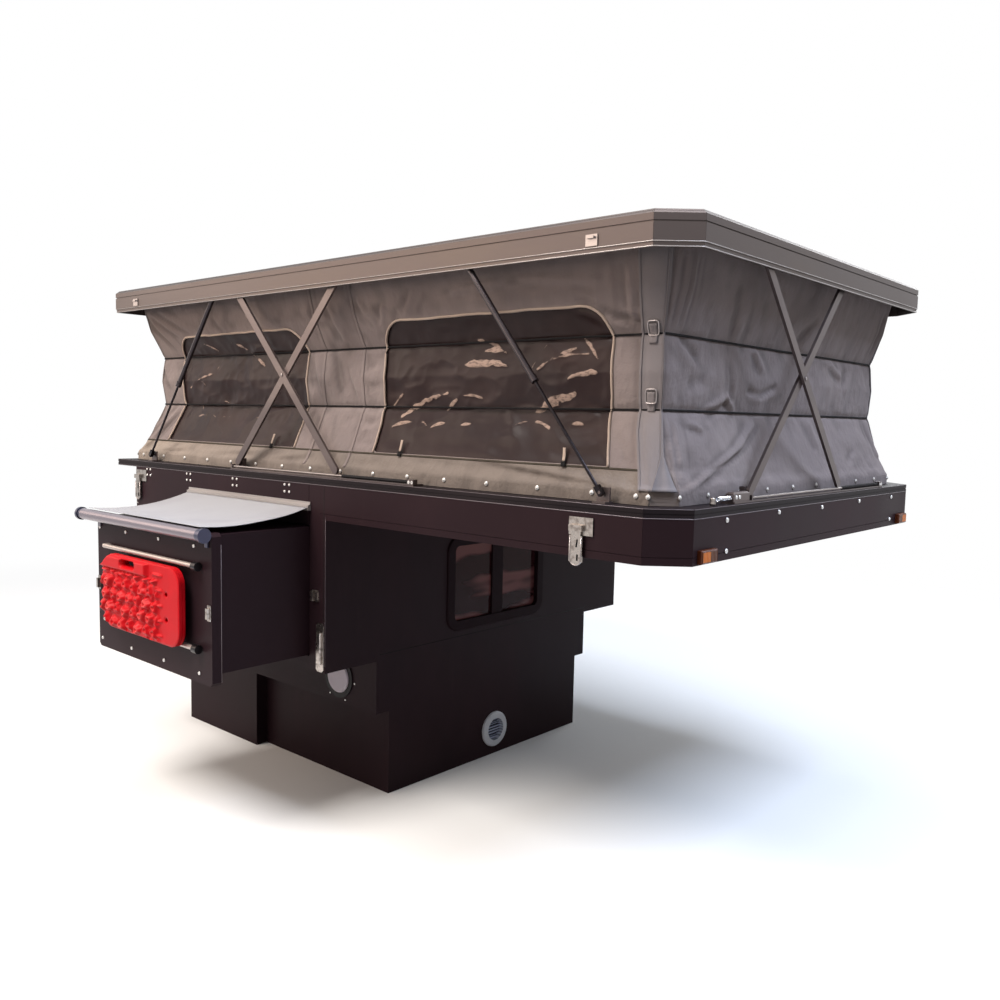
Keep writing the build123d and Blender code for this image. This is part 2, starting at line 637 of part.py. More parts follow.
# ---------------------------------------------------------------- roof
def roof_rim():
    """Mitred aluminium rim: lip, skirt, groove, bevelled head, and the channel the arms fold into."""
    ring = slab(3, ROOF_LIP_Z, ROOF_SKIRT_Z - 2)
    ring += slab(0, ROOF_SKIRT_Z, ROOF_GROOVE_Z - GROOVE)
    ring += slab(1.5, ROOF_SKIRT_Z - 2.5, ROOF_SKIRT_Z + 0.5)
    ring += slab(GROOVE, ROOF_GROOVE_Z - GROOVE - 0.5, ROOF_GROOVE_Z + 0.5)
    head = slab(0, ROOF_GROOVE_Z, ROOF_TOP_Z)
    ring += chamfer(head.faces().sort_by(Axis.Z)[-1].edges(), ROOF_BEVEL)
    reach = RIM_T + CHANNEL_W
    channel = slab(RIM_T, ROOF_LIP_Z - 5, ROOF_TOP_Z - RIM_TOP_T) - slab(reach - 3, CEILING_Z, ROOF_TOP_Z)
    ring -= channel
    ring -= slab(reach, CEILING_Z - 1, ROOF_TOP_Z + 5)
    ring -= slab(reach - 4, ROOF_LIP_Z - 5, CEILING_Z)
    return mitred(ring, reach, ROOF_LIP_Z - 2, ROOF_TOP_Z + 2)


def roof_panel():
    """Sandwich roof panel inside the rim."""
    return slab(RIM_T + CHANNEL_W + JOINT, CEILING_Z, ROOF_TOP_Z)


def roof_catches():
    """Keepers for the four toggle latches, on the rim's skirt."""
    keepers = []
    z = ROOF_SKIRT_Z + 21
    for x in CATCH_X:
        plate = block(x - 20, x + 20, -HALF_W - 3.3, -HALF_W - JOINT, z - 16, z + 16)
        hook = block(x - 12, x + 12, -HALF_W - 11, -HALF_W - 3, z + 4, z + 10)
        keepers += [plate + hook, mirror_y(plate + hook)]
    return keepers


CATCH_X = (NOSE_X - 302.0, TAIL_X + 196.0)


# ---------------------------------------------------------------- slide-out
SLIDE_Y = -HALF_W - SLIDE_OUT        # outer face of the box, behind the fascia


def slideout_box():
    """Five-sided box that runs out through the wing wall, open inside."""
    outer = block(SLIDE_X0, SLIDE_X1, SLIDE_Y, -HALF_W + SLIDE_TAIL, SLIDE_Z0, SLIDE_Z1)
    inner = block(SLIDE_X0 + SLIDE_WALL, SLIDE_X1 - SLIDE_WALL, SLIDE_Y + SLIDE_WALL, -HALF_W + SLIDE_TAIL + 5,
                  SLIDE_Z0 + SLIDE_WALL, SLIDE_Z1 - SLIDE_WALL)
    return outer - inner


def slide_runners():
    """Two runners on the wing floor that carry the box."""
    runners = []
    for x in (SLIDE_X0 + 40, SLIDE_X1 - 80):
        runners.append(block(x, x + 40, -HALF_W + WALL + JOINT, -NECK_HALF_W, WING_Z + WALL + JOINT, SLIDE_Z0 - JOINT))
    return runners


def slideout_fascia():
    y1 = SLIDE_Y - JOINT
    panel = block(SLIDE_X0 - FASCIA_SIDE, SLIDE_X1 + FASCIA_SIDE, y1 - FASCIA_T, y1,
                  SLIDE_Z0 - FASCIA_BELOW, SLIDE_Z1 + FASCIA_ABOVE)
    return chamfer(panel.edges().filter_by(Axis.Y), 12)


FASCIA_Y = SLIDE_Y - JOINT - FASCIA_T       # its outer face
ROLLER_R = 26.0
ROLLER_Y = FASCIA_Y - JOINT - ROLLER_R      # it hangs in front of the fascia
ROLLER_Z = SLIDE_Z1 + 2.0
ROLLER_X0 = SLIDE_X0 - 110.0
ROLLER_X1 = SLIDE_X1 + FASCIA_SIDE
ROLLER_CAP = 14.0


def topper_roller():
    """Awning roller with its end caps and the two brackets on the fascia."""
    tube = rod((ROLLER_X0, ROLLER_Y, ROLLER_Z), (ROLLER_X1, ROLLER_Y, ROLLER_Z), ROLLER_R - 4)
    for x in (ROLLER_X0, ROLLER_X1 - ROLLER_CAP):
        tube += rod((x, ROLLER_Y, ROLLER_Z), (x + ROLLER_CAP, ROLLER_Y, ROLLER_Z), ROLLER_R)
    for x in (SLIDE_X0 - 2, SLIDE_X1 - 16):
        tube += block(x, x + 18, FASCIA_Y - JOINT - 6, FASCIA_Y - JOINT, ROLLER_Z - 44, ROLLER_Z)
    return tube


WALL_RAIL_Z = 1172.0


def topper_rail():
    """Awning rail on the wing wall above the slide-out."""
    y = -HALF_W - JOINT
    x0 = SLIDE_X0 - 45
    x1 = SLIDE_X1 + 12
    z = WALL_RAIL_Z
    # foot, keyhole head with its slot, and the upper screw flange
    points = [(y, z), (y - 14, z), (y - 14, z + 8.5), (y - 6, z + 8.5), (y - 6, z + 11.5), (y - 14, z + 11.5),
              (y - 14, z + 18), (y - 8, z + 22), (y - 4, z + 24), (y - 4, z + 32), (y, z + 32)]
    place = Plane(origin=(x0, 0, 0), x_dir=(0, 1, 0), z_dir=(1, 0, 0))
    return extrude(place * make_face(Polyline(*points, close=True)), x1 - x0)


def topper_fabric():
    """Rain cover from the wall rail down to the roller, with a shallow sag."""
    x0 = SLIDE_X0 - 40
    x1 = SLIDE_X1 + 8
    y0 = -HALF_W - JOINT - 14 - JOINT
    z0 = WALL_RAIL_Z + 10
    y1 = ROLLER_Y
    z1 = ROLLER_Z + ROLLER_R + 0.5
    low = ((y0 + y1) / 2, (z0 + z1) / 2 - 22)
    outer = ThreePointArc((y0, z0), low, (y1, z1))
    inner = ThreePointArc((y1, z1 + 3), (low[0], low[1] + 3), (y0, z0 + 3))
    edge = outer + Line((y1, z1), (y1, z1 + 3)) + inner + Line((y0, z0 + 3), (y0, z0))
    place = Plane(origin=(x0, 0, 0), x_dir=(0, 1, 0), z_dir=(1, 0, 0))
    return extrude(place * make_face(edge), x1 - x0)


BOARD_X0 = -785.0
BOARD_X1 = -212.0
BOARD_Z0 = 698.0
BOARD_Z1 = 982.0
BOARD_T = 16.0
BOARD_R = 62.0            # round corners at the plain end
BOARD_BEVEL = (48.0, 68.0)        # cut corners of the toothed end, up and along
BAR_R = 9.0
KNOB_R = 16.0             # end knobs of the bars, seated on the fascia
BAR_SEAT_Y = FASCIA_Y - JOINT
BOARD_Y = BAR_SEAT_Y - KNOB_R - BAR_R - JOINT
LUG_ROWS = 5
LUG_COLUMNS = 8
LUG_PITCH_X = 56.0
LUG_PITCH_Z = 47.0
LUG_R = 20.0
LUG_H = 15.0
LUG_SIDES = 6
LUG_TAPER = 32.0          # degrees


def board_bars():
    """Two bars across the fascia that the boards are clamped to, with their end knobs."""
    y = BAR_SEAT_Y - KNOB_R
    x0 = BOARD_X0 - 50
    x1 = BOARD_X1 + 46
    bars = []
    for z in (BOARD_Z1 + 16, BOARD_Z0 + 8):
        bar = rod((x0, y, z), (x1, y, z), BAR_R)
        bar += rod((x1 - 4, y, z), (x1 + 24, y, z), KNOB_R)
        bar += block(x0, x0 + 24, y, BAR_SEAT_Y, z - BAR_R, z + BAR_R)
        bars.append(bar)
    return bars


def lug():
    """Six-sided knob with a smaller flat top, standing on the XY plane."""
    return extrude(RegularPolygon(LUG_R, LUG_SIDES), LUG_H, taper=LUG_TAPER)


def toothed_corners(y):
    """Wedges cut off the two corners of a board's toothed end."""
    cz = (BOARD_Z0 + BOARD_Z1) / 2
    up, back = BOARD_BEVEL
    top = BOARD_Z1 - cz
    points = [(BOARD_X0 - 5, top + 5), (BOARD_X0 - 5, top - up), (BOARD_X0, top - up), (BOARD_X0 + back, top),
              (BOARD_X0 + back, top + 5)]
    wedges = []
    for sign in (1, -1):
        place = Plane(origin=(0, y + 5, cz), x_dir=(1, 0, 0), z_dir=(0, -1, 0))
        wedges.append(extrude(place * make_face(Polyline(*[(x, sign * z) for x, z in points], close=True)), 50))
    return wedges


def recovery_boards():
    """Two nested traction boards: toothed end, handle slot, rows of knobs and the plain end's holes."""
    boards = []
    cz = (BOARD_Z0 + BOARD_Z1) / 2
    for i in range(2):
        y = BOARD_Y - i * (BOARD_T + JOINT)
        plate = block(BOARD_X0, BOARD_X1, y - BOARD_T, y, BOARD_Z0, BOARD_Z1)
        ends = plate.edges().filter_by(Axis.Y)
        plate = fillet(ends.filter_by(lambda e: e.center().X > BOARD_X1 - 1), BOARD_R)
        plate -= toothed_corners(y)
        for k in range(LUG_ROWS + 1):
            notch = Pos(BOARD_X0, 0, cz + (k - LUG_ROWS / 2) * 36) * Rot(0, 45, 0) * Box(15, 500, 15)
            plate -= Pos(0, y, 0) * notch
        plate -= block(-616, -509, y - 40, y + 5, BOARD_Z1 - 34, BOARD_Z1 - 12)
        for z in (cz + 42, cz - 50):
            plate -= rod((BOARD_X1 - 88, y - 40, z), (BOARD_X1 - 88, y + 5, z), 9)
        if i:
            for a in range(LUG_COLUMNS):
                for b in range(LUG_ROWS):
                    x = BOARD_X0 + 50 + (a + 0.5 * (b % 2)) * LUG_PITCH_X
                    z = cz - 16 + (b - (LUG_ROWS - 1) / 2) * LUG_PITCH_Z
                    plate += Pos(x, y - BOARD_T, z) * Rot(90, 0, 0) * lug()
        boards.append(plate)
    return boards


TOGGLE_Z = (812.0, 868.0)


def slideout_toggles():
    """Toggle catches at the fascia's two upright edges."""
    y = FASCIA_Y - JOINT
    z0, z1 = TOGGLE_Z
    toggles = []
    for x in (SLIDE_X0 - FASCIA_SIDE + 14, SLIDE_X1 + FASCIA_SIDE - 14):
        body = block(x - 10, x + 10, y - 4, y, z0, z1)
        toggles.append(body + block(x - 6, x + 6, y - 14, y - 3, z0 + 8, z1 - 10))
    return toggles


# ---------------------------------------------------------------- fittings on the body
CATCH_BACK = -74.0        # small catch on the wing's front post
CATCH_FRONT = -36.0
CATCH_LOW = 831.0
CATCH_H = 43.0
STRAP_X = -27.0           # centre of the strap latch
STRAP_W = 44.0
STRAP_Z0 = 566.0
STRAP_Z1 = 752.0
FIT_T = 4.0               # plates of the latches


def wall_latches():
    """Small catch and long strap latch at the wing's front edge."""
    y = -HALF_W - JOINT
    x0 = CATCH_BACK
    x1 = CATCH_FRONT
    z0 = CATCH_LOW
    catch = block(x0, x1, y - FIT_T, y, z0, z0 + CATCH_H)
    catch += block(x0 + 2, x0 + 14, y - 15, y - FIT_T + 1, z0 + 2, z0 + CATCH_H - 2)
    catch += block(x0 + 20, x1 - 2, y - 10, y - FIT_T + 1, z0 + 8, z0 + CATCH_H - 8)
    strap = block(STRAP_X - STRAP_W / 2, STRAP_X + STRAP_W / 2, y - FIT_T, y, STRAP_Z0, STRAP_Z1)
    strap = chamfer(strap.edges().filter_by(Axis.Y), 9)
    lever = block(STRAP_X - 13, STRAP_X + 13, y - 13, y - FIT_T + 1, STRAP_Z0 + 30, STRAP_Z1 - 34)
    return [catch, strap + chamfer(lever.faces().sort_by(Axis.Y)[0].edges(), 3)]


LATCH_LEVER_W = 46.0
LATCH_LEVER_L = 98.0


def roof_latch(x0, x1, lever_x, z1):
    """Over-centre latch for the roof: base plate, pull lever with a round end, and its hinge barrel."""
    y = -HALF_W - JOINT
    plate = block(x0, x1, y - FIT_T, y, z1 - 52, z1)
    lever_z = z1 - 48
    half = LATCH_LEVER_W / 2
    face = Pos(lever_x, lever_z - LATCH_LEVER_L / 2 + 6) * Rectangle(LATCH_LEVER_W, LATCH_LEVER_L - half)
    face += Pos(lever_x, lever_z - LATCH_LEVER_L + half + 6) * Circle(half)
    place = Plane(origin=(0, y - 6, 0), x_dir=(1, 0, 0), z_dir=(0, -1, 0))
    lever = extrude(place * face, 5)
    barrel = block(lever_x - half, lever_x + half, y - 16, y - FIT_T + 1, z1 - 40, z1 - 22)
    link = block(lever_x - half + 6, lever_x + half - 6, y - 11, y - 6, z1 - 56, z1 - 30)
    return plate + barrel + link + lever


def roof_toggles():
    """Latches below the roof catches, one near each corner of both sides."""
    latches = []
    for x0, x1, lever_x in ((NOSE_X - 350, NOSE_X - 266, NOSE_X - 320), (TAIL_X + 183, TAIL_X + 277, TAIL_X + 210)):
        piece = roof_latch(x0, x1, lever_x, RAIL_Z - 12)
        latches += [piece, mirror_y(piece)]
    return latches


LAMP_Y = (-HALF_W + 115.0, -HALF_W + 204.0)
LAMP_Z = (POD_Z + 4.0, POD_Z + 42.0)
LAMP_OUT = 16.0


def marker_lamps():
    """Amber side markers at the pod's front corners."""
    lamp = block(NOSE_X + JOINT, NOSE_X + LAMP_OUT, *LAMP_Y, *LAMP_Z)
    lamp = chamfer(lamp.faces().sort_by(Axis.X)[-1].edges(), 4)
    return [lamp, mirror_y(lamp)]


MATTRESS_T = 100.0
MATTRESS_GAP = 12.0


def mattress():
    """Bed cushion in the cabover tray."""
    points = pod_outline(POD_WALL + MATTRESS_GAP)
    points[0] = (20, points[0][1])
    points[-1] = (20, points[-1][1])
    face = make_face(Polyline(*points, close=True))
    return extrude(Pos(0, 0, POD_Z + POD_WALL + JOINT) * face, MATTRESS_T)


# ---------------------------------------------------------------- rear door
DOOR_X1 = -BODY_L - JOINT
DOOR_HINGE_Y = DOOR_W / 2 + 4
DOOR_LAP = 20.0           # door over the edge of its opening
HINGE_R = 8.0
HINGE_L = 60.0
DOOR_LIGHT_W = 330.0
DOOR_LIGHT_H = 260.0
DOOR_LIGHT_Z = 950.0
DOOR_LIGHT_R = 40.0
GLASS_T = 6.0
HANDLE_Z = 670.0


def door_light(shrink):
    """Bar through the door's window."""
    place = Plane(origin=(DOOR_X1 + 5, 0, DOOR_LIGHT_Z), x_dir=(0, 1, 0), z_dir=(1, 0, 0))
    outline = RectangleRounded(DOOR_LIGHT_W - 2 * shrink, DOOR_LIGHT_H - 2 * shrink, DOOR_LIGHT_R - shrink)
    return extrude(place * outline, -DOOR_T - 10)


def door_panel():
    """Door leaf over the opening, with its raised field and two hinge barrels."""
    x0 = DOOR_X1 - DOOR_T
    half = DOOR_W / 2
    door = block(x0, DOOR_X1, -half, half, DOOR_Z0, DOOR_Z1)
    door = chamfer(door.edges().filter_by(Axis.X), 14)
    door -= block(x0 - 5, x0 + 4, -half + 45, half - 45, DOOR_Z0 + 60, HANDLE_Z - 110)
    door -= door_light(0)
    for z in (DOOR_Z0 + 120, DOOR_Z1 - 120):
        door += rod((x0, DOOR_HINGE_Y, z - HINGE_L / 2), (x0, DOOR_HINGE_Y, z + HINGE_L / 2), HINGE_R)
    return door


def door_glass():
    """Pane in the middle of the door's thickness."""
    x = DOOR_X1 - DOOR_T / 2
    return door_light(0.4) & block(x - GLASS_T / 2, x + GLASS_T / 2, -DOOR_W, DOOR_W, DOOR_Z0, DOOR_Z1)


def door_handle():
    """Pull handle on its plate, at the free edge."""
    y = -DOOR_W / 2 + 60
    x = DOOR_X1 - DOOR_T - JOINT
    handle = block(x - 6, x, y - 28, y + 28, HANDLE_Z - 70, HANDLE_Z + 70)
    handle += block(x - 34, x - 24, y - 9, y + 9, HANDLE_Z - 50, HANDLE_Z + 50)
    for z in (HANDLE_Z - 40, HANDLE_Z + 40):
        handle += block(x - 30, x - 3, y - 9, y + 9, z - 10, z + 10)
    return handle


# ---------------------------------------------------------------- write the nodes
save("floor_panel", floor_panel())
save("side_shells", *side_shells())
save("rear_side_boxes", *rear_side_boxes())
save("wing_walls", *wing_walls())
save("front_wall", front_wall())
save("rear_wall", rear_wall())
save("window_frame", window_frame())
save("window_panes", *window_panes())
save("vent", vent())
save("filler_hatch", *filler_hatch())
save("cabover_floor", cabover_floor())
save("cabover_walls", cabover_walls())
save("base_rail", base_rail())
save("tail_deck", tail_deck())
save("canvas_strip", canvas_strip())
save("canvas", canvas())
save("canvas_windows", *canvas_windows())
save("topper_rail", topper_rail())
save("wall_latches", *wall_latches())
save("roof_toggles", *roof_toggles())
save("marker_lamps", *marker_lamps())
save("mattress", mattress())

save("scissor_tracks", *[to_side(scissor_track(side), side) for side in SIDES])
save("guide_rods", *[to_side(guide_rod(), side) for side in SIDES])
save("rod_gaiters", *[to_side(gaiter(), side) for side in SIDES])
for side in SIDES:
    save(f"{side}_arm_inner", to_side(inner_arm(), side))
    save(f"{side}_arm_outer", to_side(outer_arm(), side))

feet = []
heads = []
for name, (foot_x, direction) in STRUTS.items():
    foot = at_strut(strut_foot(), foot_x)
    feet += [foot, mirror_y(foot)]
    head = Pos(direction * STRUT_SPAN, 0, PIVOT_RISE) * strut_head()
    heads += [at_strut(head, foot_x), mirror_y(at_strut(head, foot_x))]
    for side, place in (("stbd", lambda s: s), ("port", mirror_y)):
        save(f"{name}_{side}_strut_rod", place(at_strut(strut_rod(direction), foot_x)))
        save(f"{name}_{side}_strut_tube", place(at_strut(strut_tube(direction), foot_x)))
save("strut_feet", *feet)

save("roof_panel", roof_panel())
save("roof_rim", roof_rim())
save("roof_brackets", *[to_side(roof_bracket(), side) for side in SIDES], *heads)
save("roof_catches", *roof_catches())

save("slide_runners", *slide_runners())
save("slideout_box", slideout_box())
save("slideout_fascia", slideout_fascia())
save("topper_roller", topper_roller())
save("topper_fabric", topper_fabric())
save("board_bars", *board_bars())
save("recovery_boards", *recovery_boards())
save("slideout_toggles", *slideout_toggles())

save("door_panel", door_panel())
save("door_glass", door_glass())
save("door_handle", door_handle())
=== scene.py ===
# %% [markdown]
# # A pop-up truck camper
# The hard parts of the camper come from CAD, at their real size: panels, roof, arms, door and
# fittings. This lesson dresses them. It gives every panel its finish, sews the folding tent,
# hangs the sagging awning and adds the small fasteners that hold it all together.

# %% Load the frame
import math

import bpy
import numpy as np
from mathutils import Matrix, Vector


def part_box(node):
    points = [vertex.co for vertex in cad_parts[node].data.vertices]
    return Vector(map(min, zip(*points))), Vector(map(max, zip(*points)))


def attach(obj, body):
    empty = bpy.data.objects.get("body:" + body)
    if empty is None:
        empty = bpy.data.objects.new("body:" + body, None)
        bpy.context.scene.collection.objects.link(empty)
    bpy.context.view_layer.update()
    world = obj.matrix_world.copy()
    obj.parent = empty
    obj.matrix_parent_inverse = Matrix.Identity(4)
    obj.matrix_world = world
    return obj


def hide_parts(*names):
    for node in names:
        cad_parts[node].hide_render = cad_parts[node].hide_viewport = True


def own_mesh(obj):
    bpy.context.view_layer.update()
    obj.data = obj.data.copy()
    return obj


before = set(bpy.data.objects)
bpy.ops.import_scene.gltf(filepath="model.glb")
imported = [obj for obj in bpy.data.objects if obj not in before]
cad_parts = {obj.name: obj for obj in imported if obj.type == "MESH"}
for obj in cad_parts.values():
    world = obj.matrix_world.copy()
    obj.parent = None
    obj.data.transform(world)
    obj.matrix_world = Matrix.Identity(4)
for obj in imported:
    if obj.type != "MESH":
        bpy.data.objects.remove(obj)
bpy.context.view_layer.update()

# %% [markdown]
# The main sizes are read from the CAD boxes, so the soft pieces start from the hard ones. The base
# rail gives the outline that the tent stands on. X runs forward, Y to port and Z up, in metres.

# %% Sizes read from the hard parts
RAIL_LOW, RAIL_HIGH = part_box("base_rail")
TAIL_X, NOSE_X, HALF_W = RAIL_LOW[0], RAIL_HIGH[0], RAIL_HIGH[1]
LEDGE_Z = RAIL_HIGH[2]
RIM_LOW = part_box("roof_rim")[0]
WALL_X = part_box("front_wall")[1][0]
TENT_LOW, TENT_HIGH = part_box("canvas")
STRIP_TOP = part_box("canvas_strip")[1][2]
STBD, PORT = -1, 1
SIDES = ((STBD, "stbd"), (PORT, "port"))


def about(middle, half):
    """The two ends of a run, half of it to each side of its middle."""
    return middle - half, middle + half


print("rail from", round(TAIL_X, 3), "to", round(NOSE_X, 3), "ledge at", round(LEDGE_Z, 3))

# %% [markdown]
# ## Camera
# The camera stands off the front starboard corner at eye height, turned a little down. Its place
# and its three turns give the axes of its matrix.

# %% Camera
EYE = Vector((WALL_X + 2.7110, -3.0564, 1.5321))
HEADING = math.radians(48.64)
TILT = math.radians(-5.27)
ROLL = math.radians(1.255)
LENS_MM, SENSOR_MM, SHIFT_UP = 33.09, 36.0, 0.003

ahead = Vector((-math.cos(HEADING) * math.cos(TILT), math.sin(HEADING) * math.cos(TILT), math.sin(TILT)))
level = ahead.cross(Vector((0, 0, 1))).normalized()
upright = level.cross(ahead)
across = level * math.cos(ROLL) + upright * math.sin(ROLL)
upward = upright * math.cos(ROLL) - level * math.sin(ROLL)

lens = bpy.data.cameras.new("studio_camera")
lens.lens = LENS_MM
lens.sensor_width = SENSOR_MM
lens.shift_y = SHIFT_UP
camera = bpy.data.objects.new("studio_camera", lens)
bpy.context.collection.objects.link(camera)
turn = Matrix((across, upward, -ahead)).transposed().to_4x4()
camera.matrix_world = Matrix.Translation(EYE) @ turn
bpy.context.scene.camera = camera
bpy.context.scene.view_settings.view_transform = "Standard"
print("camera at", [round(c, 2) for c in EYE])

# %% [markdown]
# ## Colours and finishes
# A finish is one material: a Principled shader whose plain values sit on its own sockets, and a
# few texture nodes that vary colour, roughness and height. `put` adds one node to any tree. The
# small class keeps the wiring out of the way, so that each finish reads as a short recipe.


# %% The finish maker
def srgb(red, green, blue):
    """A colour given as it looks on a screen, in the linear values that shaders want."""
    shades = [((c / 255 + 0.055) / 1.055) ** 2.4 if c > 10 else c / 255 / 12.92 for c in (red, green, blue)]
    return (*shades, 1.0)


def put(tree, kind, given, output=0, **settings):
    """Add a node to a tree, set it up, feed its inputs by link or value, and give one output."""
    node = tree.nodes.new(kind)
    for name, value in settings.items():
        setattr(node, name, value)
    for socket, value in given.items():
        if isinstance(value, bpy.types.NodeSocket):
            tree.links.new(value, node.inputs[socket])
        else:
            node.inputs[socket].default_value = value
    return node.outputs[output]


class Finish:
    """One material and the nodes that vary it."""

    def __init__(self, name, colour, roughness, sockets=None, follow="Object"):
        self.material = bpy.data.materials.new(name)
        self.material.use_nodes = True
        self.material.diffuse_color = colour
        self.tree = self.material.node_tree
        self.shader = self.tree.nodes["Principled BSDF"]
        for socket, value in {"Base Color": colour, "Roughness": roughness, **(sockets or {})}.items():
            self.shader.inputs[socket].default_value = value
        self.place = self.node("TexCoord", {}, follow)
        self.colour = colour
        self.normal = None

    def node(self, kind, given, output=0, **settings):
        """One more node in this material."""
        return put(self.tree, "ShaderNode" + kind, given, output, **settings)

    def noise(self, scale, stretch=(1, 1, 1), detail=3.0):
        """Soft cloudy pattern from 0 to 1."""
        place = self.node("Mapping", {"Vector": self.place, "Scale": stretch})
        return self.node("TexNoise", {"Vector": place, "Scale": scale, "Detail": detail}, "Fac")

    def bands(self, scale, direction):
        """Parallel bands from 0 to 1."""
        return self.node("TexWave", {"Vector": self.place, "Scale": scale}, "Fac", bands_direction=direction)

    def axis(self, letter):
        """One coordinate of the place."""
        return self.node("SeparateXYZ", {"Vector": self.place}, letter)

    def attribute(self, name):
        """A value stored on the piece's own points."""
        return self.node("Attribute", {}, "Fac", attribute_name=name)

    def window(self, value, low, high, to_low=0.0, to_high=1.0):
        """Smooth step of a value between two limits."""
        limits = {"From Min": low, "From Max": high, "To Min": to_low, "To Max": to_high}
        return self.node("MapRange", {"Value": value, **limits}, "Result", interpolation_type="SMOOTHSTEP")

    def maths(self, operation, first, second):
        """Sum, product or other combination of two values."""
        return self.node("Math", {0: first, 1: second}, operation=operation)

    def distance_from(self, first, second, centre):
        """Distance from a line, by the two coordinates across it."""
        squares = []
        for letter, value in zip((first, second), centre):
            off = self.maths("SUBTRACT", self.axis(letter), value)
            squares.append(self.maths("MULTIPLY", off, off))
        return self.maths("SQRT", self.maths("ADD", *squares), 0.0)

    def link(self, value, socket):
        """Run one socket of the shader from a node."""
        self.tree.links.new(value, self.shader.inputs[socket])

    def tint(self, share, colour):
        """Lay another colour over the ones so far, by a share from 0 to 1."""
        self.colour = self.node("Mix", {"Factor": share, 6: self.colour, 7: colour}, 2, data_type="RGBA")
        self.link(self.colour, "Base Color")

    def drive(self, socket, value, low, high):
        """Let a 0 to 1 value run a socket between two numbers."""
        self.link(self.window(value, 0.0, 1.0, low, high), socket)

    def relief(self, height, depth):
        """Add bumps of this depth in metres."""
        below = {"Normal": self.normal} if self.normal else {}
        self.normal = self.node("Bump", {"Height": height, "Strength": 1.0, "Distance": depth, **below})
        self.link(self.normal, "Normal")


FINISHES = {}


def keep(finish, slot):
    """Store a finish under the slot of the CAD parts that wear it."""
    FINISHES[slot] = finish.material


print("finish maker ready")

# %% [markdown]
# ### Painted panels
# The body is sandwich panel skinned in satin dark brown-black paint. It is never quite even: the
# spray leaves faint clouds, road dust settles in soft patches and fine orange peel breaks up the
# shine. Object coordinates keep the pattern fixed to the panel.

# %% Painted panels
panel = Finish("painted_panel", srgb(39, 26, 30), 0.42, {"Specular IOR Level": 0.06})
dusty = panel.noise(2.2, (1, 1, 0.5), 5.0)
panel.tint(panel.window(dusty, 0.46, 0.78, 0.0, 0.7), srgb(50, 34, 38))
panel.tint(panel.window(panel.noise(9.0, (1, 1, 0.25), 4.0), 0.62, 0.86, 0.0, 0.3), srgb(62, 46, 48))
panel.drive("Roughness", dusty, 0.34, 0.52)
panel.relief(panel.noise(420.0, detail=1.0), 0.00002)
panel.relief(panel.noise(6.0, detail=2.0), 0.0004)
keep(panel, "body_panel")
print("painted panels ready")

# %% [markdown]
# ### Aluminium profiles
# Roof rim and base rail are extruded aluminium, powder coated. Extrusions carry long faint draw
# lines, so their noise is stretched along the profile. Powder coat gives a fine grain.


# %% Coated profiles
def coated_metal(name, colour, dust, roughness, metallic, gloss=0.5):
    """Powder coat on aluminium with dust and fine grain."""
    coat = Finish(name, colour, roughness, {"Metallic": metallic, "Specular IOR Level": gloss})
    cloud = coat.noise(3.0, (0.6, 0.6, 2.0), 4.0)
    coat.tint(coat.window(cloud, 0.42, 0.8, 0.0, 0.6), dust)
    coat.drive("Roughness", cloud, roughness - 0.06, roughness + 0.08)
    coat.relief(coat.noise(900.0, detail=1.0), 0.00002)
    return coat


keep(coated_metal("roof_rim_coat", srgb(86, 77, 75), srgb(98, 87, 80), 0.42, 0.8), "rim_alloy")
keep(coated_metal("rail_coat", srgb(26, 20, 23), srgb(40, 33, 35), 0.5, 0.1, 0.1), "rail_alloy")
keep(coated_metal("roof_skin_coat", srgb(116, 112, 110), srgb(98, 91, 86), 0.6, 0.0, 0.1), "roof_skin")
keep(coated_metal("arm_coat", srgb(88, 77, 76), srgb(118, 106, 102), 0.34, 0.6), "arm_steel")
pale_alloy = coated_metal("pale_alloy", srgb(168, 160, 156), srgb(140, 132, 130), 0.36, 0.6)
print("coats:", sorted(FINISHES))

# %% [markdown]
# ### Bare metals
# Latches and screws are zinc plated or stainless: bright, with a crystalline bloom. The springs on
# the end tracks are hard chrome. The guide rods and cross rivets are duller, a satin alloy.

# %% Bare metals
bright = Finish("bright_steel", srgb(164, 156, 150), 0.3, {"Metallic": 1.0})
bloom = bright.noise(60.0, detail=3.0)
bright.tint(bright.window(bloom, 0.45, 0.7, 0.0, 0.75), srgb(96, 88, 84))
bright.drive("Roughness", bloom, 0.2, 0.42)
bright.relief(bright.noise(300.0, detail=2.0), 0.00003)
keep(bright, "bright_steel")

chrome = Finish("hard_chrome", srgb(225, 226, 230), 0.12, {"Metallic": 1.0})
chrome.drive("Roughness", chrome.noise(80.0, (0.2, 0.2, 1), 2.0), 0.06, 0.2)
keep(chrome, "chrome_rod")

# the gas struts have nitrided black rods in thin painted tubes
nitrided = Finish("nitrided_rod", srgb(34, 29, 32), 0.2, {"Metallic": 0.8})
nitrided.drive("Roughness", nitrided.noise(40.0, detail=2.0), 0.14, 0.3)
tube_paint = coated_metal("strut_tube_paint", srgb(44, 36, 40), srgb(70, 62, 64), 0.24, 0.5)
satin_rod = coated_metal("satin_rod", srgb(150, 142, 140), srgb(116, 106, 102), 0.34, 0.9)
ROLLER_LOW, ROLLER_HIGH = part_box("topper_roller")
roller_alloy = coated_metal("roller_alloy", srgb(126, 118, 126), srgb(106, 98, 106), 0.3, 0.7)
CAP_FROM, CAP_TO = 0.034, 0.030
along_roller = roller_alloy.axis("X")
end_cap = srgb(66, 66, 84)
rear_cap = roller_alloy.window(along_roller, ROLLER_LOW[0] + CAP_TO, ROLLER_LOW[0] + CAP_FROM, 1.0, 0.0)
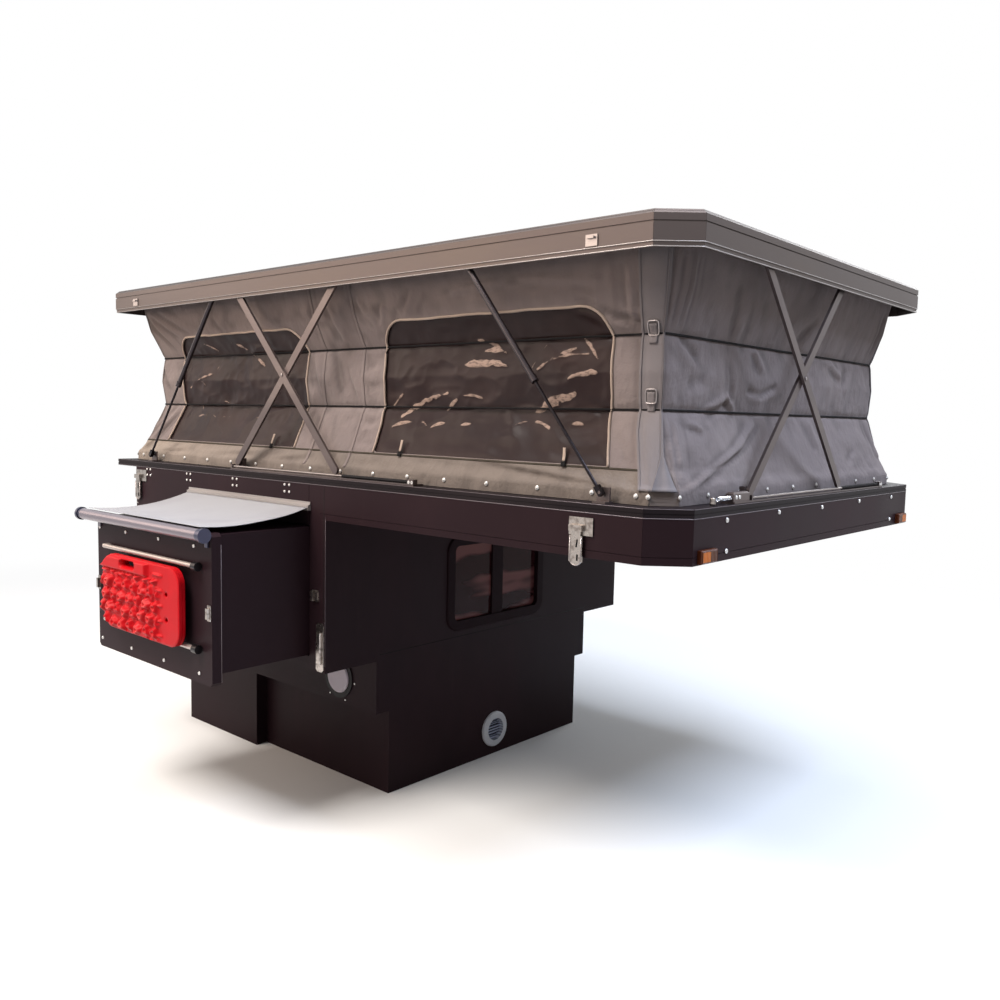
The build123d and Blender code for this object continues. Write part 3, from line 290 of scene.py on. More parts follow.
front_cap = roller_alloy.window(along_roller, ROLLER_HIGH[0] - CAP_FROM, ROLLER_HIGH[0] - CAP_TO)
for cap in (rear_cap, front_cap):
    roller_alloy.tint(cap, end_cap)
print("metals:", sorted(FINISHES))

# %% [markdown]
# ### Plastics, rubber and lamps
# Injection moulded parts have a fine leather-like grain and a soft highlight. Rubber is duller and
# greys with age. The marker lamps are ribbed amber lenses: the ribs are bands across the lens.


# %% Plastics, rubber, lamps
def moulded(name, colour, pale, roughness, grain=0.00003, gloss=0.14):
    """Plastic or rubber with a moulded grain and slight fading."""
    plastic = Finish(name, colour, roughness, {"Specular IOR Level": gloss})
    fade = plastic.noise(14.0, detail=4.0)
    plastic.tint(plastic.window(fade, 0.45, 0.8, 0.0, 0.7), pale)
    plastic.drive("Roughness", fade, roughness - 0.07, roughness + 0.09)
    plastic.relief(plastic.noise(700.0, detail=2.0), grain)
    return plastic


keep(moulded("black_rubber", srgb(18, 15, 17), srgb(34, 30, 32), 0.6), "black_rubber")
keep(moulded("black_plastic", srgb(27, 17, 20), srgb(42, 31, 34), 0.45), "black_plastic")
keep(moulded("white_plastic", srgb(226, 229, 236), srgb(204, 206, 212), 0.42), "white_plastic")
keep(moulded("grey_plastic", srgb(158, 152, 160), srgb(178, 172, 176), 0.45), "grey_plastic")

frame_paint = moulded("frame_paint", srgb(31, 18, 22), srgb(40, 26, 29), 0.5, gloss=0.04)
red = moulded("red_board_plastic", srgb(188, 7, 20), srgb(206, 20, 32), 0.4, 0.00005)
red.tint(red.attribute("worn"), srgb(236, 92, 90))
keep(red, "red_plastic")

amber = Finish("amber_lens", srgb(196, 88, 14), 0.3, {"Specular IOR Level": 0.2})
ribs = amber.bands(40.0, direction="Y")
amber.tint(amber.window(ribs, 0.45, 0.9, 0.0, 0.8), srgb(226, 138, 46))
amber.relief(ribs, 0.0015)
LAMP_LOW, LAMP_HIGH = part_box("marker_lamps")
LENS_BLUR = 0.0005
lamp_up = amber.axis("Z")
lamp_out = amber.maths("ABSOLUTE", amber.axis("Y"), 0.0)
lens_limits = ((lamp_up, LAMP_LOW[2] + 0.005, 0), (lamp_up, LAMP_HIGH[2] - 0.005, 1),
               (lamp_out, LAMP_HIGH[1] - 0.006, 1), (lamp_out, LAMP_HIGH[1] - 0.047, 0))
for value, limit, beyond in lens_limits:
    amber.tint(amber.window(value, *about(limit, LENS_BLUR), 1.0 - beyond, float(beyond)), srgb(84, 38, 16))
keep(amber, "amber_lens")

# the filler's flange is black round its grey cover, and the vent's middle is a bluish disc whose slots are
# dark bands of painted shade
FILLER_LOW, FILLER_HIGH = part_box("filler_hatch")
filler_middle = [(FILLER_LOW[k] + FILLER_HIGH[k]) / 2 for k in (0, 2)]
filler_cover = moulded("filler_cover", srgb(224, 212, 220), srgb(238, 228, 234), 0.45)
from_filler = filler_cover.distance_from("X", "Z", filler_middle)
filler_cover.tint(filler_cover.window(from_filler, 0.0644, 0.0652), srgb(22, 19, 21))
VENT_LOW, VENT_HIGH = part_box("vent")
vent_middle = [(VENT_LOW[k] + VENT_HIGH[k]) / 2 for k in (1, 2)]
vent_grille = moulded("vent_grille", srgb(238, 240, 246), srgb(220, 222, 230), 0.42)
in_disc = vent_grille.window(vent_grille.distance_from("Y", "Z", vent_middle), 0.048, 0.052, 1.0, 0.0)
vent_grille.tint(in_disc, srgb(188, 195, 216))
# the dark slots are painted shade, standing in for the openings
painted_slot_shade = vent_grille.window(vent_grille.bands(26.0, direction="Z"), 0.55, 0.75)
vent_grille.tint(vent_grille.maths("MULTIPLY", in_disc, painted_slot_shade), srgb(58, 60, 78))
bar_finish = coated_metal("bar_alloy", srgb(176, 164, 158), srgb(150, 138, 132), 0.3, 0.6)
knob_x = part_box("board_bars")[1][0] - 0.029
bar_finish.tint(bar_finish.window(bar_finish.axis("X"), knob_x, knob_x + 0.001), srgb(26, 22, 24))
print("plastics, rubber and lamps:", len(FINISHES), "slots dressed so far")

# %% [markdown]
# ### Glass and clear vinyl
# The hard windows are dark brown tinted glass with faint warm streaks, which are painted
# reflections. The tent windows are soft smoked vinyl. Pale marks along its creases are painted
# reflections of light in the crumpled film, each over a slight dent. The marks are stored on each
# pane's own points, so they stay put when the tent folds.

# %% Glass and vinyl
glass = Finish("tinted_glass", srgb(56, 28, 31), 0.05, {"Specular IOR Level": 0.08, "Alpha": 0.94})
# the faint warm streaks on the glass are painted reflections
painted_reflection_streaks = glass.noise(4.0, (0.6, 0.6, 2.6), 2.0)
glass.tint(glass.window(painted_reflection_streaks, 0.44, 0.58, 0.0, 0.85), srgb(142, 92, 90))
glass.drive("Roughness", painted_reflection_streaks, 0.03, 0.14)
keep(glass, "window_glass")

vinyl = Finish("smoked_vinyl", srgb(44, 32, 32), 0.3, {"Specular IOR Level": 0.12, "Alpha": 0.94}, "UV")
haze = vinyl.noise(3.4, (1, 2.2, 1), 5.0)
vinyl.tint(vinyl.window(haze, 0.45, 0.75, 0.0, 0.6), srgb(62, 48, 46))
# pale marks along the creases are painted reflections, broken up by noise
painted_reflection = vinyl.window(vinyl.attribute("crease_reflection"), 0.46, 0.60, 0.0, 0.85)
vinyl.tint(painted_reflection, srgb(178, 152, 138))
reflection_breakup = vinyl.window(vinyl.noise(60.0, (1, 2.5, 1), 3.0), 0.46, 0.60)
vinyl.tint(vinyl.maths("MULTIPLY", painted_reflection, reflection_breakup), srgb(122, 104, 94))
vinyl.drive("Roughness", haze, 0.26, 0.44)
keep(vinyl, "clear_vinyl")
print("glass and vinyl ready")

# %% [markdown]
# ### Cloth
# The tent is heavy cotton canvas. Its weave is two crossing sets of threads, far finer than a
# fold, so it is bump: two wave textures on the UV map, whose unit is a metre of cloth. The foot
# band is a paler, proofed cloth. The awning is coated vinyl cloth, nearly smooth.


# %% Cloth
def woven(name, colour, faded, threads_per_metre, depth, sheen, rumple=0.0):
    """Plain weave in UV space with fading and a soft nap."""
    cloth = Finish(name, colour, 0.85, {"Specular IOR Level": 0.2, "Sheen Weight": sheen}, follow="UV")
    wear = cloth.noise(2.6, detail=6.0)
    cloth.tint(cloth.window(wear, 0.4, 0.78, 0.0, 0.75), faded)
    weave = cloth.maths("MULTIPLY", cloth.bands(threads_per_metre, direction="X"),
                        cloth.bands(threads_per_metre, direction="Y"))
    cloth.relief(weave, depth)
    cloth.relief(cloth.noise(160.0, detail=3.0), depth * 2)
    cloth.relief(cloth.noise(13.0, (1.0, 0.6, 1.0), 5.0), depth * rumple)
    return cloth


canvas_cloth = woven("tent_canvas", srgb(126, 114, 112), srgb(142, 129, 125), 90.0, 0.0004, 0.08, 40.0)
foot_band = canvas_cloth.attribute("foot_band")
canvas_cloth.tint(foot_band, srgb(148, 136, 125))
towards_nose = canvas_cloth.window(canvas_cloth.axis("X"), WALL_X - 0.7, WALL_X + 0.5)
canvas_cloth.tint(canvas_cloth.maths("MULTIPLY", foot_band, towards_nose), srgb(116, 106, 100))
# painted shade: the cloth is darker in the hollows of its folds, and darker along its foot
canvas_cloth.tint(canvas_cloth.attribute("crease_shade_and_dark_foot"), srgb(74, 66, 64))
keep(canvas_cloth, "canvas")
keep(woven("awning_cloth", srgb(150, 149, 152), srgb(136, 134, 138), 140.0, 0.0001, 0.0), "topper_vinyl")
keep(woven("mattress_cloth", srgb(176, 172, 166), srgb(196, 190, 182), 120.0, 0.0003, 0.2), "mattress_fabric")
webbing = woven("tent_webbing", srgb(122, 115, 116), srgb(140, 132, 132), 160.0, 0.0004, 0.05)
piping = woven("tent_piping", srgb(176, 156, 142), srgb(198, 180, 166), 200.0, 0.0002, 0.1)
elastic = woven("elastic_cord", srgb(16, 13, 14), srgb(28, 24, 25), 260.0, 0.0003, 0.0)
stitched = woven("stitched_seam", srgb(66, 60, 52), srgb(84, 76, 68), 260.0, 0.0003, 0.0)
print("slots with a finish:", len(FINISHES))

# %% [markdown]
# ### Dress the hard parts
# Each CAD part comes with a slot that names what it is made of, so most parts take the finish of
# their slot. A few share a slot but look different on the real camper, and those have their own.

# %% Dress the hard parts
OWN_FINISH = {
    "topper_rail": pale_alloy,
    "topper_roller": roller_alloy,
    "board_bars": bar_finish,
    "guide_rods": satin_rod,
    "roof_catches": satin_rod,
    "filler_hatch": filler_cover,
    "vent": vent_grille,
    "window_frame": frame_paint,
}
for corner in ("front_stbd", "front_port", "rear_stbd", "rear_port"):
    OWN_FINISH[f"{corner}_strut_rod"] = nitrided
    OWN_FINISH[f"{corner}_strut_tube"] = tube_paint
for name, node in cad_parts.items():
    for worn in node.material_slots:
        own = OWN_FINISH.get(name)
        worn.material = own.material if own else FINISHES[worn.material.name]
print("finishes:", len(FINISHES) + len(set(OWN_FINISH.values())))

# %% [markdown]
# ## Mesh helpers
# Soft pieces are made from points worked out in code. `grid_faces` joins a grid of points,
# `mesh_piece` makes the object, `closed_slab` closes two grids into a solid and `tube` sweeps a
# round section along a line. `dress` says which body a piece rides on.


# %% Mesh helpers
def mesh_piece(name, points, faces, material, smooth=True):
    """A new object at the origin from points and faces."""
    mesh = bpy.data.meshes.new(name)
    mesh.from_pydata([tuple(p) for p in points], [], [tuple(f) for f in faces])
    mesh.materials.append(material)
    mesh.polygons.foreach_set("use_smooth", [smooth] * len(mesh.polygons))
    mesh.update()
    piece = bpy.data.objects.new(name, mesh)
    bpy.context.collection.objects.link(piece)
    return piece


def dress(piece, body):
    """Let a piece ride on a body."""
    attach(piece, body)
    return piece


def made_plain(piece):
    """Apply a piece's modifiers, so that its mesh is final."""
    bpy.context.view_layer.update()
    shown = bpy.data.meshes.new_from_object(piece.evaluated_get(bpy.context.evaluated_depsgraph_get()))
    piece.modifiers.clear()
    piece.data = shown


def points_of(x, y, z):
    """Three grids of coordinates as one list of points."""
    return np.stack(np.broadcast_arrays(x, y, z), -1).reshape(-1, 3)


def set_uv(piece, uv_of_point):
    """Give every corner of a face the UV of its point."""
    mesh = piece.data
    layer = mesh.uv_layers.new(name="cloth")
    corners = np.empty(len(mesh.loops), dtype=np.int64)
    mesh.loops.foreach_get("vertex_index", corners)
    layer.data.foreach_set("uv", np.asarray(uv_of_point, dtype=np.float32)[corners].ravel())


def set_value(piece, name, values):
    """Store one number a point, for a finish to read."""
    layer = piece.data.attributes.new(name, "FLOAT", "POINT")
    layer.data.foreach_set("value", np.asarray(values, dtype=np.float32).ravel())


def grid_faces(rows, columns, closed=False, hole=None):
    """Quads of a grid of points, left out where hole says so."""
    last = columns if closed else columns - 1
    faces = []
    for row in range(rows - 1):
        for column in range(last):
            if hole is not None and hole[row, column]:
                continue
            beside = (column + 1) % columns
            a, b = row * columns + column, row * columns + beside
            faces.append((a, b, b + columns, a + columns))
    return faces


def closed_slab(name, front, back, quads, material):
    """A solid between two sets of points that share the same faces; also gives the points it kept."""
    count = len(front)
    walk = dict.fromkeys((a, b) for quad in quads for a, b in zip(quad, quad[1:] + quad[:1]))
    faces = quads + [tuple(i + count for i in reversed(quad)) for quad in quads]
    faces += [(b, a, a + count, b + count) for a, b in walk if (b, a) not in walk]
    kept = sorted({i for face in faces for i in face})
    number = {old: new for new, old in enumerate(kept)}
    faces = [[number[i] for i in face] for face in faces]
    return mesh_piece(name, np.concatenate([front, back])[kept], faces, material), kept


def tube(name, line, radius, material, sides=8, closed=False):
    """Round rod or cord along a line of points, with a UV map that runs along it."""
    line = np.asarray(line, float)
    count = len(line)
    if closed:
        forward = np.roll(line, -1, 0) - np.roll(line, 1, 0)
    else:
        forward = np.gradient(line, axis=0)
    forward /= np.linalg.norm(forward, axis=1)[:, None]
    across = np.cross(forward, (0.13, 0.21, 0.97))
    across /= np.linalg.norm(across, axis=1)[:, None]
    away = np.cross(forward, across)
    turns = np.linspace(0, 2 * np.pi, sides, endpoint=False)
    ring = np.cos(turns)[None, :, None] * across[:, None] + np.sin(turns)[None, :, None] * away[:, None]
    points = (line[:, None] + ring * np.broadcast_to(radius, count)[:, None, None]).reshape(-1, 3)
    faces = []
    for i in range(count if closed else count - 1):
        j = (i + 1) % count
        for k in range(sides):
            m = (k + 1) % sides
            faces.append((i * sides + m, i * sides + k, j * sides + k, j * sides + m))
    if not closed:
        faces.append(tuple(range(sides)))
        faces.append(tuple(reversed(range((count - 1) * sides, count * sides))))
    piece = mesh_piece(name, points, faces, material)
    run = np.concatenate([[0], np.cumsum(np.linalg.norm(np.diff(line, axis=0), axis=1))])
    set_uv(piece, np.stack([np.repeat(run, sides), np.tile(turns / 6.28 * 0.02, count)], 1))
    return piece


def value_noise(u, v, cell_u, cell_v, seed, wrap=None):
    """Smooth repeatable noise from -1 to 1; wrap is the length of cloth after which u repeats."""
    across = max(1, round(wrap / cell_u)) if wrap else 4096
    cell_u = wrap / across if wrap else cell_u
    table = np.random.RandomState(seed).uniform(-1, 1, (across, 256))
    iu, iv = np.floor(u / cell_u).astype(int), np.floor(v / cell_v).astype(int)
    fu, fv = u / cell_u - iu, v / cell_v - iv
    fu, fv = fu * fu * (3 - 2 * fu), fv * fv * (3 - 2 * fv)

    def corner(du, dv):
        return table[(iu + du) % across, (iv + dv) % 256]

    low = corner(0, 0) * (1 - fu) + corner(1, 0) * fu
    high = corner(0, 1) * (1 - fu) + corner(1, 1) * fu
    return low * (1 - fv) + high * fv


def soft_step(value, low, high):
    """0 below low, 1 above high, smooth between."""
    share = np.clip((value - low) / (high - low), 0, 1)
    return share * share * (3 - 2 * share)


print("mesh helpers ready")

# %% [markdown]
# ## The tent
# The folding wall is one continuous band of canvas round six sides. Two elastic cords pull it in
# at the waist, so that it folds inwards when the roof comes down. Its form follows a rule: at each
# height the plan of the rail, moved in by the profile. Folds are then pushed into the surface.

# %% Plan and profile of the tent
NOSE_CUT_X, NOSE_CUT_Y = 0.105, 0.090
CORNER_EASE = 0.034
CORD_LOW_Z = LEDGE_Z + 0.267
CORD_HIGH_Z = LEDGE_Z + 0.482
ZIP_UP = 0.098
COLUMNS = (300, 10, 176, 10, 300, 150)
CORNER_COLUMNS = 7
ROWS = 100
PROFILE = (
    (TENT_LOW[2], 0.0668),
    (STRIP_TOP + 0.003, 0.0680),
    (STRIP_TOP + 0.018, 0.0790),
    (LEDGE_Z + ZIP_UP, 0.097),
    (CORD_LOW_Z, 0.151),
    ((CORD_LOW_Z + CORD_HIGH_Z) / 2, 0.141),
    (CORD_HIGH_Z, 0.151),
    (TENT_HIGH[2] - 0.150, 0.105),
    (TENT_HIGH[2] - 0.060, 0.086),
    (TENT_HIGH[2], 0.080),
)


def plan_corners(inset):
    """The six corners of the rail's outline, moved in by inset."""
    slant = math.hypot(NOSE_CUT_X, NOSE_CUT_Y)
    side_x = NOSE_X - NOSE_CUT_X - inset * (slant - NOSE_CUT_X) / NOSE_CUT_Y
    nose_y = HALF_W - NOSE_CUT_Y - inset * (slant - NOSE_CUT_Y) / NOSE_CUT_X
    side, tail, nose = HALF_W - inset, TAIL_X + inset, NOSE_X - inset
    return np.array([(tail, -side), (side_x, -side), (nose, -nose_y),
                     (nose, nose_y), (side_x, side), (tail, side)])


def wall_line(inset, roundness=CORNER_EASE):
    """Points round the tent at one height, and the way out at each."""
    corners = plan_corners(inset)
    points, outward = [], []
    for k, count in enumerate(COLUMNS):
        a, b, c = corners[k], corners[(k + 1) % 6], corners[(k + 2) % 6]
        length, next_length = np.linalg.norm(b - a), np.linalg.norm(c - b)
        along, onward = (b - a) / length, (c - b) / next_length
        ease, next_ease = min(roundness, 0.45 * length), min(roundness, 0.45 * next_length)
        start, end = a + along * ease, b - along * ease
        for share in np.linspace(0, 1, count, endpoint=False):
            points.append(start + (end - start) * share)
            outward.append((along[1], -along[0]))
        for share in np.linspace(0, 1, CORNER_COLUMNS, endpoint=False):
            far = b + onward * next_ease
            points.append(end * (1 - share) ** 2 + b * 2 * share * (1 - share) + far * share ** 2)
            way = along * (1 - share) + onward * share
            way /= np.linalg.norm(way)
            outward.append((way[1], -way[0]))
    return np.array(points), np.array(outward)


REFERENCE, _ = wall_line(0.12)
steps = np.linalg.norm(np.roll(REFERENCE, -1, 0) - REFERENCE, axis=1)
ROUND = float(steps.sum())
S = np.concatenate([[0], np.cumsum(steps)[:-1]])
Z = np.linspace(TENT_LOW[2], TENT_HIGH[2], ROWS)
print("tent is", round(ROUND, 3), "m round and", len(S), "columns")


def straight_side(number):
    """The columns of one straight side, counted from the starboard side round."""
    first = sum(COLUMNS[:number]) + number * CORNER_COLUMNS
    return slice(first, first + COLUMNS[number] + 1)


def along(number, axis, place):
    """Length of cloth to a place on one straight side."""
    run, length = REFERENCE[straight_side(number), axis], S[straight_side(number)]
    order = np.argsort(run[:len(length)])
    return float(np.interp(place, run[order], length[order]))


def along_side(x, side):
    """Length of cloth from the rear starboard corner to x on the starboard or port side."""
    return along(0 if side == STBD else 4, 0, x)


def along_front(y):
    """Length of cloth to y on the front."""
    return along(2, 1, y)


def along_rear(y):
    """Length of cloth to y on the rear."""
    return along(5, 1, y)

# %% [markdown]
# Windows, zips and tapes hold the cloth flat where they are sewn on, so their places come first.
# Each is given as a length along the cloth and a height.

# %% Places of windows and tapes
PANE_LOW, PANE_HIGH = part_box("canvas_windows")
WINDOW_Z0 = LEDGE_Z + ZIP_UP + 0.004
WINDOW_Z1 = LEDGE_Z + 0.570
REAR_WINDOW = (PANE_LOW[0], WALL_X - 0.310)
FRONT_WINDOW = (WALL_X + 0.153, PANE_HIGH[0])
TOP_R, FOOT_R = 0.112, 0.018
WEBBING_X = WALL_X + 1.266
WEBBING_WIDE = 0.076
SEAM_X = (WALL_X - 0.205, WALL_X + 0.03)
SEAM_HALF = 0.006


def window_places():
    """Each window's two ends along the cloth, lower end first."""
    return [sorted((along_side(a, side), along_side(b, side)))
            for side in (STBD, PORT) for a, b in (REAR_WINDOW, FRONT_WINDOW)]


def rounded_distance(u, v, low, high, radius):
    """Distance outside a rectangle with round corners, negative inside."""
    du = np.abs(u - (low[0] + high[0]) / 2) - ((high[0] - low[0]) / 2 - radius)
    dv = np.abs(v - (low[1] + high[1]) / 2) - ((high[1] - low[1]) / 2 - radius)
    return np.hypot(np.maximum(du, 0), np.maximum(dv, 0)) + np.minimum(np.maximum(du, dv), 0) - radius


def edge_distance(s, z, ends):
    """Distance outside a tent window, whose upper corners are rounder than its lower ones."""
    radius = np.where(z > (WINDOW_Z0 + WINDOW_Z1) / 2, TOP_R, FOOT_R)
    return rounded_distance(s, z, (ends[0], WINDOW_Z0), (ends[1], WINDOW_Z1), radius)


def webbing_place(side):
    """The corner webbing, from the end of a side round onto the front."""
    start = along_side(WEBBING_X, side)
    return [start, start + WEBBING_WIDE] if side == STBD else [start - WEBBING_WIDE, start]


def tape_places():
    """Where upright tapes are sewn on: from one length to another."""
    places = []
    for side in (STBD, PORT):
        places.append(webbing_place(side))
        for x in SEAM_X:
            places.append(about(along_side(x, side), SEAM_HALF))
    return places


def held_flat(s, z):
    """1 where tape, zip or piping keeps the cloth flat, 0 away from them."""
    hold = np.exp(-((z - LEDGE_Z - ZIP_UP) / 0.012) ** 2)
    for low, high in tape_places():
        hold = np.maximum(hold, soft_step(s, low - 0.014, low) * (1 - soft_step(s, high, high + 0.014)))
    for ends in window_places():
        hold = np.maximum(hold, np.exp(-(edge_distance(s, z, ends) / 0.014) ** 2))
    return hold


print("windows and tapes:", len(window_places()), "and", len(tape_places()))

# %% [markdown]
# Each fold is a soft ridge along a line from one place on the cloth to another. Listed folds
# give the long diagonals that run out of the corners, where the cloth is pulled hardest. Gathers
# beside the cords and slow waves in between come from repeatable noise.


# %% Folds
def fold(s, z, start, end, depth, width):
    """A ridge between two places on the cloth, tapering at both ends, with a shallow trough beside it."""
    a, b = np.array(start), np.array(end)
    run = b - a
    share = ((s - a[0]) * run[0] + (z - a[1]) * run[1]) / (run @ run)
    off = ((s - a[0]) * run[1] - (z - a[1]) * run[0]) / np.linalg.norm(run)
    inside = soft_step(share, -0.05, 0.20) * (1 - soft_step(share, 0.80, 1.05))
    ridge = np.exp(-(off / width) ** 2) - 0.6 * np.exp(-((off - 1.7 * width) / width) ** 2)
    return depth * inside * ridge


def laid(rows, along_cloth, per_metre=1000):
    """Folds on the cloth, from rows of places and heights; along_cloth turns a place into a length."""
    return [((along_cloth(a), z0), (along_cloth(b), z1), depth, width)
            for a, z0, b, z1, depth, width in np.array(rows) / per_metre]


# folds in millimetres: place and height of each end, then how far it stands out and its half width
FRONT_FOLDS = (
    (-753, 1332, -345, 1473, 11, 11), (-390, 1458, -248, 1539, 9, 12), (-750, 1343, -500, 1352, 7, 10),
    (-640, 1352, 300, 1347, 8, 9), (220, 1346, 780, 1352, 8, 9), (-602, 1560, -420, 1614, 9.5, 13),
    (-440, 1622, -368, 1560, 10, 11), (-300, 1636, -180, 1626, -8, 12), (-200, 1626, -80, 1658, -8, 12),
    (-394, 1730, -380, 1590, 6, 12), (-262, 1778, -186, 1700, 8, 14), (-740, 1784, -620, 1716, -11, 20),
    (-700, 1640, -560, 1660, -6, 22), (354, 1766, 468, 1710, 8, 14), (560, 1740, 500, 1650, 6, 20),
    (-690, 1532, -600, 1508, 7, 10), (-794, 2010, -782, 1800, 9, 9), (-745, 2010, -738, 1795, 8, 8),
    (-769, 1545, -748, 1370, 7, 9), (780, 1990, 770, 1800, 8, 10), (760, 1550, 780, 1380, 6, 10),
    (-420, 1960, -380, 1800, 6, 26), (30, 1820, 160, 1900, -6, 22), (180, 1548, 220, 1440, 6, 18),
    (560, 1420, 420, 1370, 6, 14),
)
SIDE_FOLDS = (
    (620, 1414, 1260, 1338, 11, 12), (300, 1384, 950, 1350, -5, 16), (1220, 1800, 1020, 1862, 10, 15),
    (1285, 1815, 1150, 1830, -8, 12), (1275, 2000, 1268, 1370, 8, 10), (1400, 1990, 1395, 1380, 8, 10),
    (1225, 1990, 1236, 1790, 6, 12), (520, 1945, 800, 1962, 7, 12), (780, 1964, 1120, 1935, 7, 12),
    (360, 1960, 300, 1880, 6, 14), (200, 1930, 170, 1850, 6, 14), (60, 1960, 140, 1850, 7, 12),
    (-100, 1960, -60, 1800, 7, 16), (-280, 1930, -120, 1900, 6, 18), (-260, 1760, -200, 1600, 8, 14),
    (-150, 1760, -100, 1600, -8, 16), (-60, 1740, 10, 1600, 7, 12), (-180, 1540, -150, 1410, 5, 14),
    (-1500, 1990, -1290, 1820, 9, 12), (-1440, 2000, -1200, 1870, 7, 12),
    (-1340, 2000, -1080, 1890, 6, 16), (-900, 1960, -820, 1880, 5, 20), (-620, 1980, -520, 1880, 5, 20),
    (-1460, 1345, -1300, 1560, 10, 13), (-1400, 1345, -1060, 1370, 7, 12),
    (-1000, 1350, -500, 1385, 6, 14), (-480, 1345, -200, 1380, 6, 12), (-1490, 1760, -1360, 1640, 6, 16),
)
REAR_PAIRS = ((-0.70, -0.30), (0.10, 0.36), (0.72, 0.40))
REAR_FOLDS = [(y0, 1.34, y1, CORD_LOW_Z - 0.01, 0.007, 0.014) for y0, y1 in REAR_PAIRS]
REAR_FOLDS += [(y1, CORD_LOW_Z + 0.03, y0 * 0.8, CORD_HIGH_Z - 0.03, 0.004, 0.016) for y0, y1 in REAR_PAIRS]
folds = laid(FRONT_FOLDS, along_front)
for side in (STBD, PORT):
    folds += laid(SIDE_FOLDS, lambda x: along_side(WALL_X + x, side))
folds += laid(REAR_FOLDS, along_rear, 1)


def cord_bite(z):
    """How near a height is to either cord, 1 on it."""
    return np.exp(-((z - CORD_LOW_Z) / 0.010) ** 2) + np.exp(-((z - CORD_HIGH_Z) / 0.010) ** 2)


CORD_DEEP = 0.0035
SCALLOP_DEEP, SCALLOP_PITCH = 0.0014, 0.18


def cloth_relief(s, z):
    """How far the cloth stands out of its smooth form."""
    near_cord = np.minimum(np.abs(z - CORD_LOW_Z), np.abs(z - CORD_HIGH_Z))
    total = 0.0045 * value_noise(s, z, 0.32, 0.24, 3, ROUND)
    total += 0.0022 * (1 - 2 * np.abs(value_noise(s + 0.4 * z, z, 0.12, 0.14, 5, ROUND)))
    total += 0.0050 * value_noise(s, z, 0.042, 0.15, 7, ROUND) * np.exp(-near_cord / 0.040)
    total += 0.0010 * value_noise(s, z, 0.034, 0.028, 9, ROUND)
    for side in (STBD, PORT):
        pulled = np.exp(-((s - along_side(WALL_X + 0.09, side)) / 0.06) ** 2)
        total += 0.0055 * pulled * value_noise(s, z, 0.11, 0.026, 11, ROUND)
    for start, end, depth, width in folds:
        total = total + fold(s, z, start, end, depth, width)
    above_foot = soft_step(z, STRIP_TOP - 0.004, STRIP_TOP + 0.03)
    held = above_foot * (1 - soft_step(z, TENT_HIGH[2] - 0.05, TENT_HIGH[2]))
    scallop = SCALLOP_DEEP * np.cos(s * 2 * np.pi / SCALLOP_PITCH) * (1 - above_foot)
    bite = cord_bite(z)
    return total * held * (1 - 0.75 * bite) * (1 - 0.8 * held_flat(s, z)) - CORD_DEEP * bite + scallop


heights, insets = np.array(PROFILE).T
grid_s, grid_z = np.meshgrid(S, Z)
relief = cloth_relief(grid_s, grid_z)
wall = np.empty((ROWS, len(S), 3))
outside = np.empty((ROWS, len(S), 3))
for row, z in enumerate(Z):
    roundness = float(np.interp(z, (STRIP_TOP, STRIP_TOP + 0.17), (0.003, CORNER_EASE)))
    line, way = wall_line(np.interp(z, heights, insets), roundness)
    wall[row, :, :2] = line + way * relief[row][:, None]
    wall[row, :, 2] = z
    outside[row, :, :2] = way
    outside[row, :, 2] = 0
print("relief from", round(relief.min() * 1000, 1), "to", round(relief.max() * 1000, 1), "mm")


def on_wall(s, z, lift=0.0):
    """Points on the cloth at lengths s and heights z, lifted off it."""
    s, z = np.broadcast_arrays(np.asarray(s, float), np.asarray(z, float))
    place = np.interp(s % ROUND, np.append(S, ROUND), np.arange(len(S) + 1))
    level = np.clip((z - Z[0]) / (Z[1] - Z[0]), 0, ROWS - 1.001)
    column, row = np.floor(place).astype(int), np.floor(level).astype(int)
    fs, fz = (place - column)[..., None], (level - row)[..., None]
    column, beside = column % len(S), (column + 1) % len(S)

    def mixed(table):
        low = table[row, column] * (1 - fs) + table[row, beside] * fs
        high = table[row + 1, column] * (1 - fs) + table[row + 1, beside] * fs
        return low * (1 - fz) + high * fz

    return mixed(wall) + mixed(outside) * lift

# %% [markdown]
# The windows are cut by moving the grid's points onto the window's outline and leaving out the
# faces inside it, so that the edge of the cloth is clean.


# %% Cut the windows
def snap_to(u, v, distance, reach):
    """Grid points near an outline moved onto it; distance(u, v) is negative inside it."""
    step = reach * 0.1
    here = distance(u, v)
    slope_u = (distance(u + step, v) - distance(u - step, v)) / (2 * step)
    slope_v = (distance(u, v + step) - distance(u, v - step)) / (2 * step)
    steep = np.maximum(np.hypot(slope_u, slope_v), 0.3) ** 2
    near = np.abs(here) < reach
    return np.where(near, u - here * slope_u / steep, u), np.where(near, v - here * slope_v / steep, v)


def middles(grid):
    """The value at the middle of each face of a grid, with the last row and column kept."""
    out = grid.copy()
    out[:-1, :-1] = (grid[:-1, :-1] + grid[1:, :-1] + grid[:-1, 1:] + grid[1:, 1:]) / 4
    return out


open_faces = np.zeros((ROWS, len(S)), bool)
moved_s, moved_z = grid_s, grid_z
for ends in window_places():
    moved_s, moved_z = snap_to(moved_s, moved_z, lambda a, b: edge_distance(a, b, ends), 0.006)
    open_faces |= edge_distance(middles(grid_s), middles(grid_z), ends) < 0

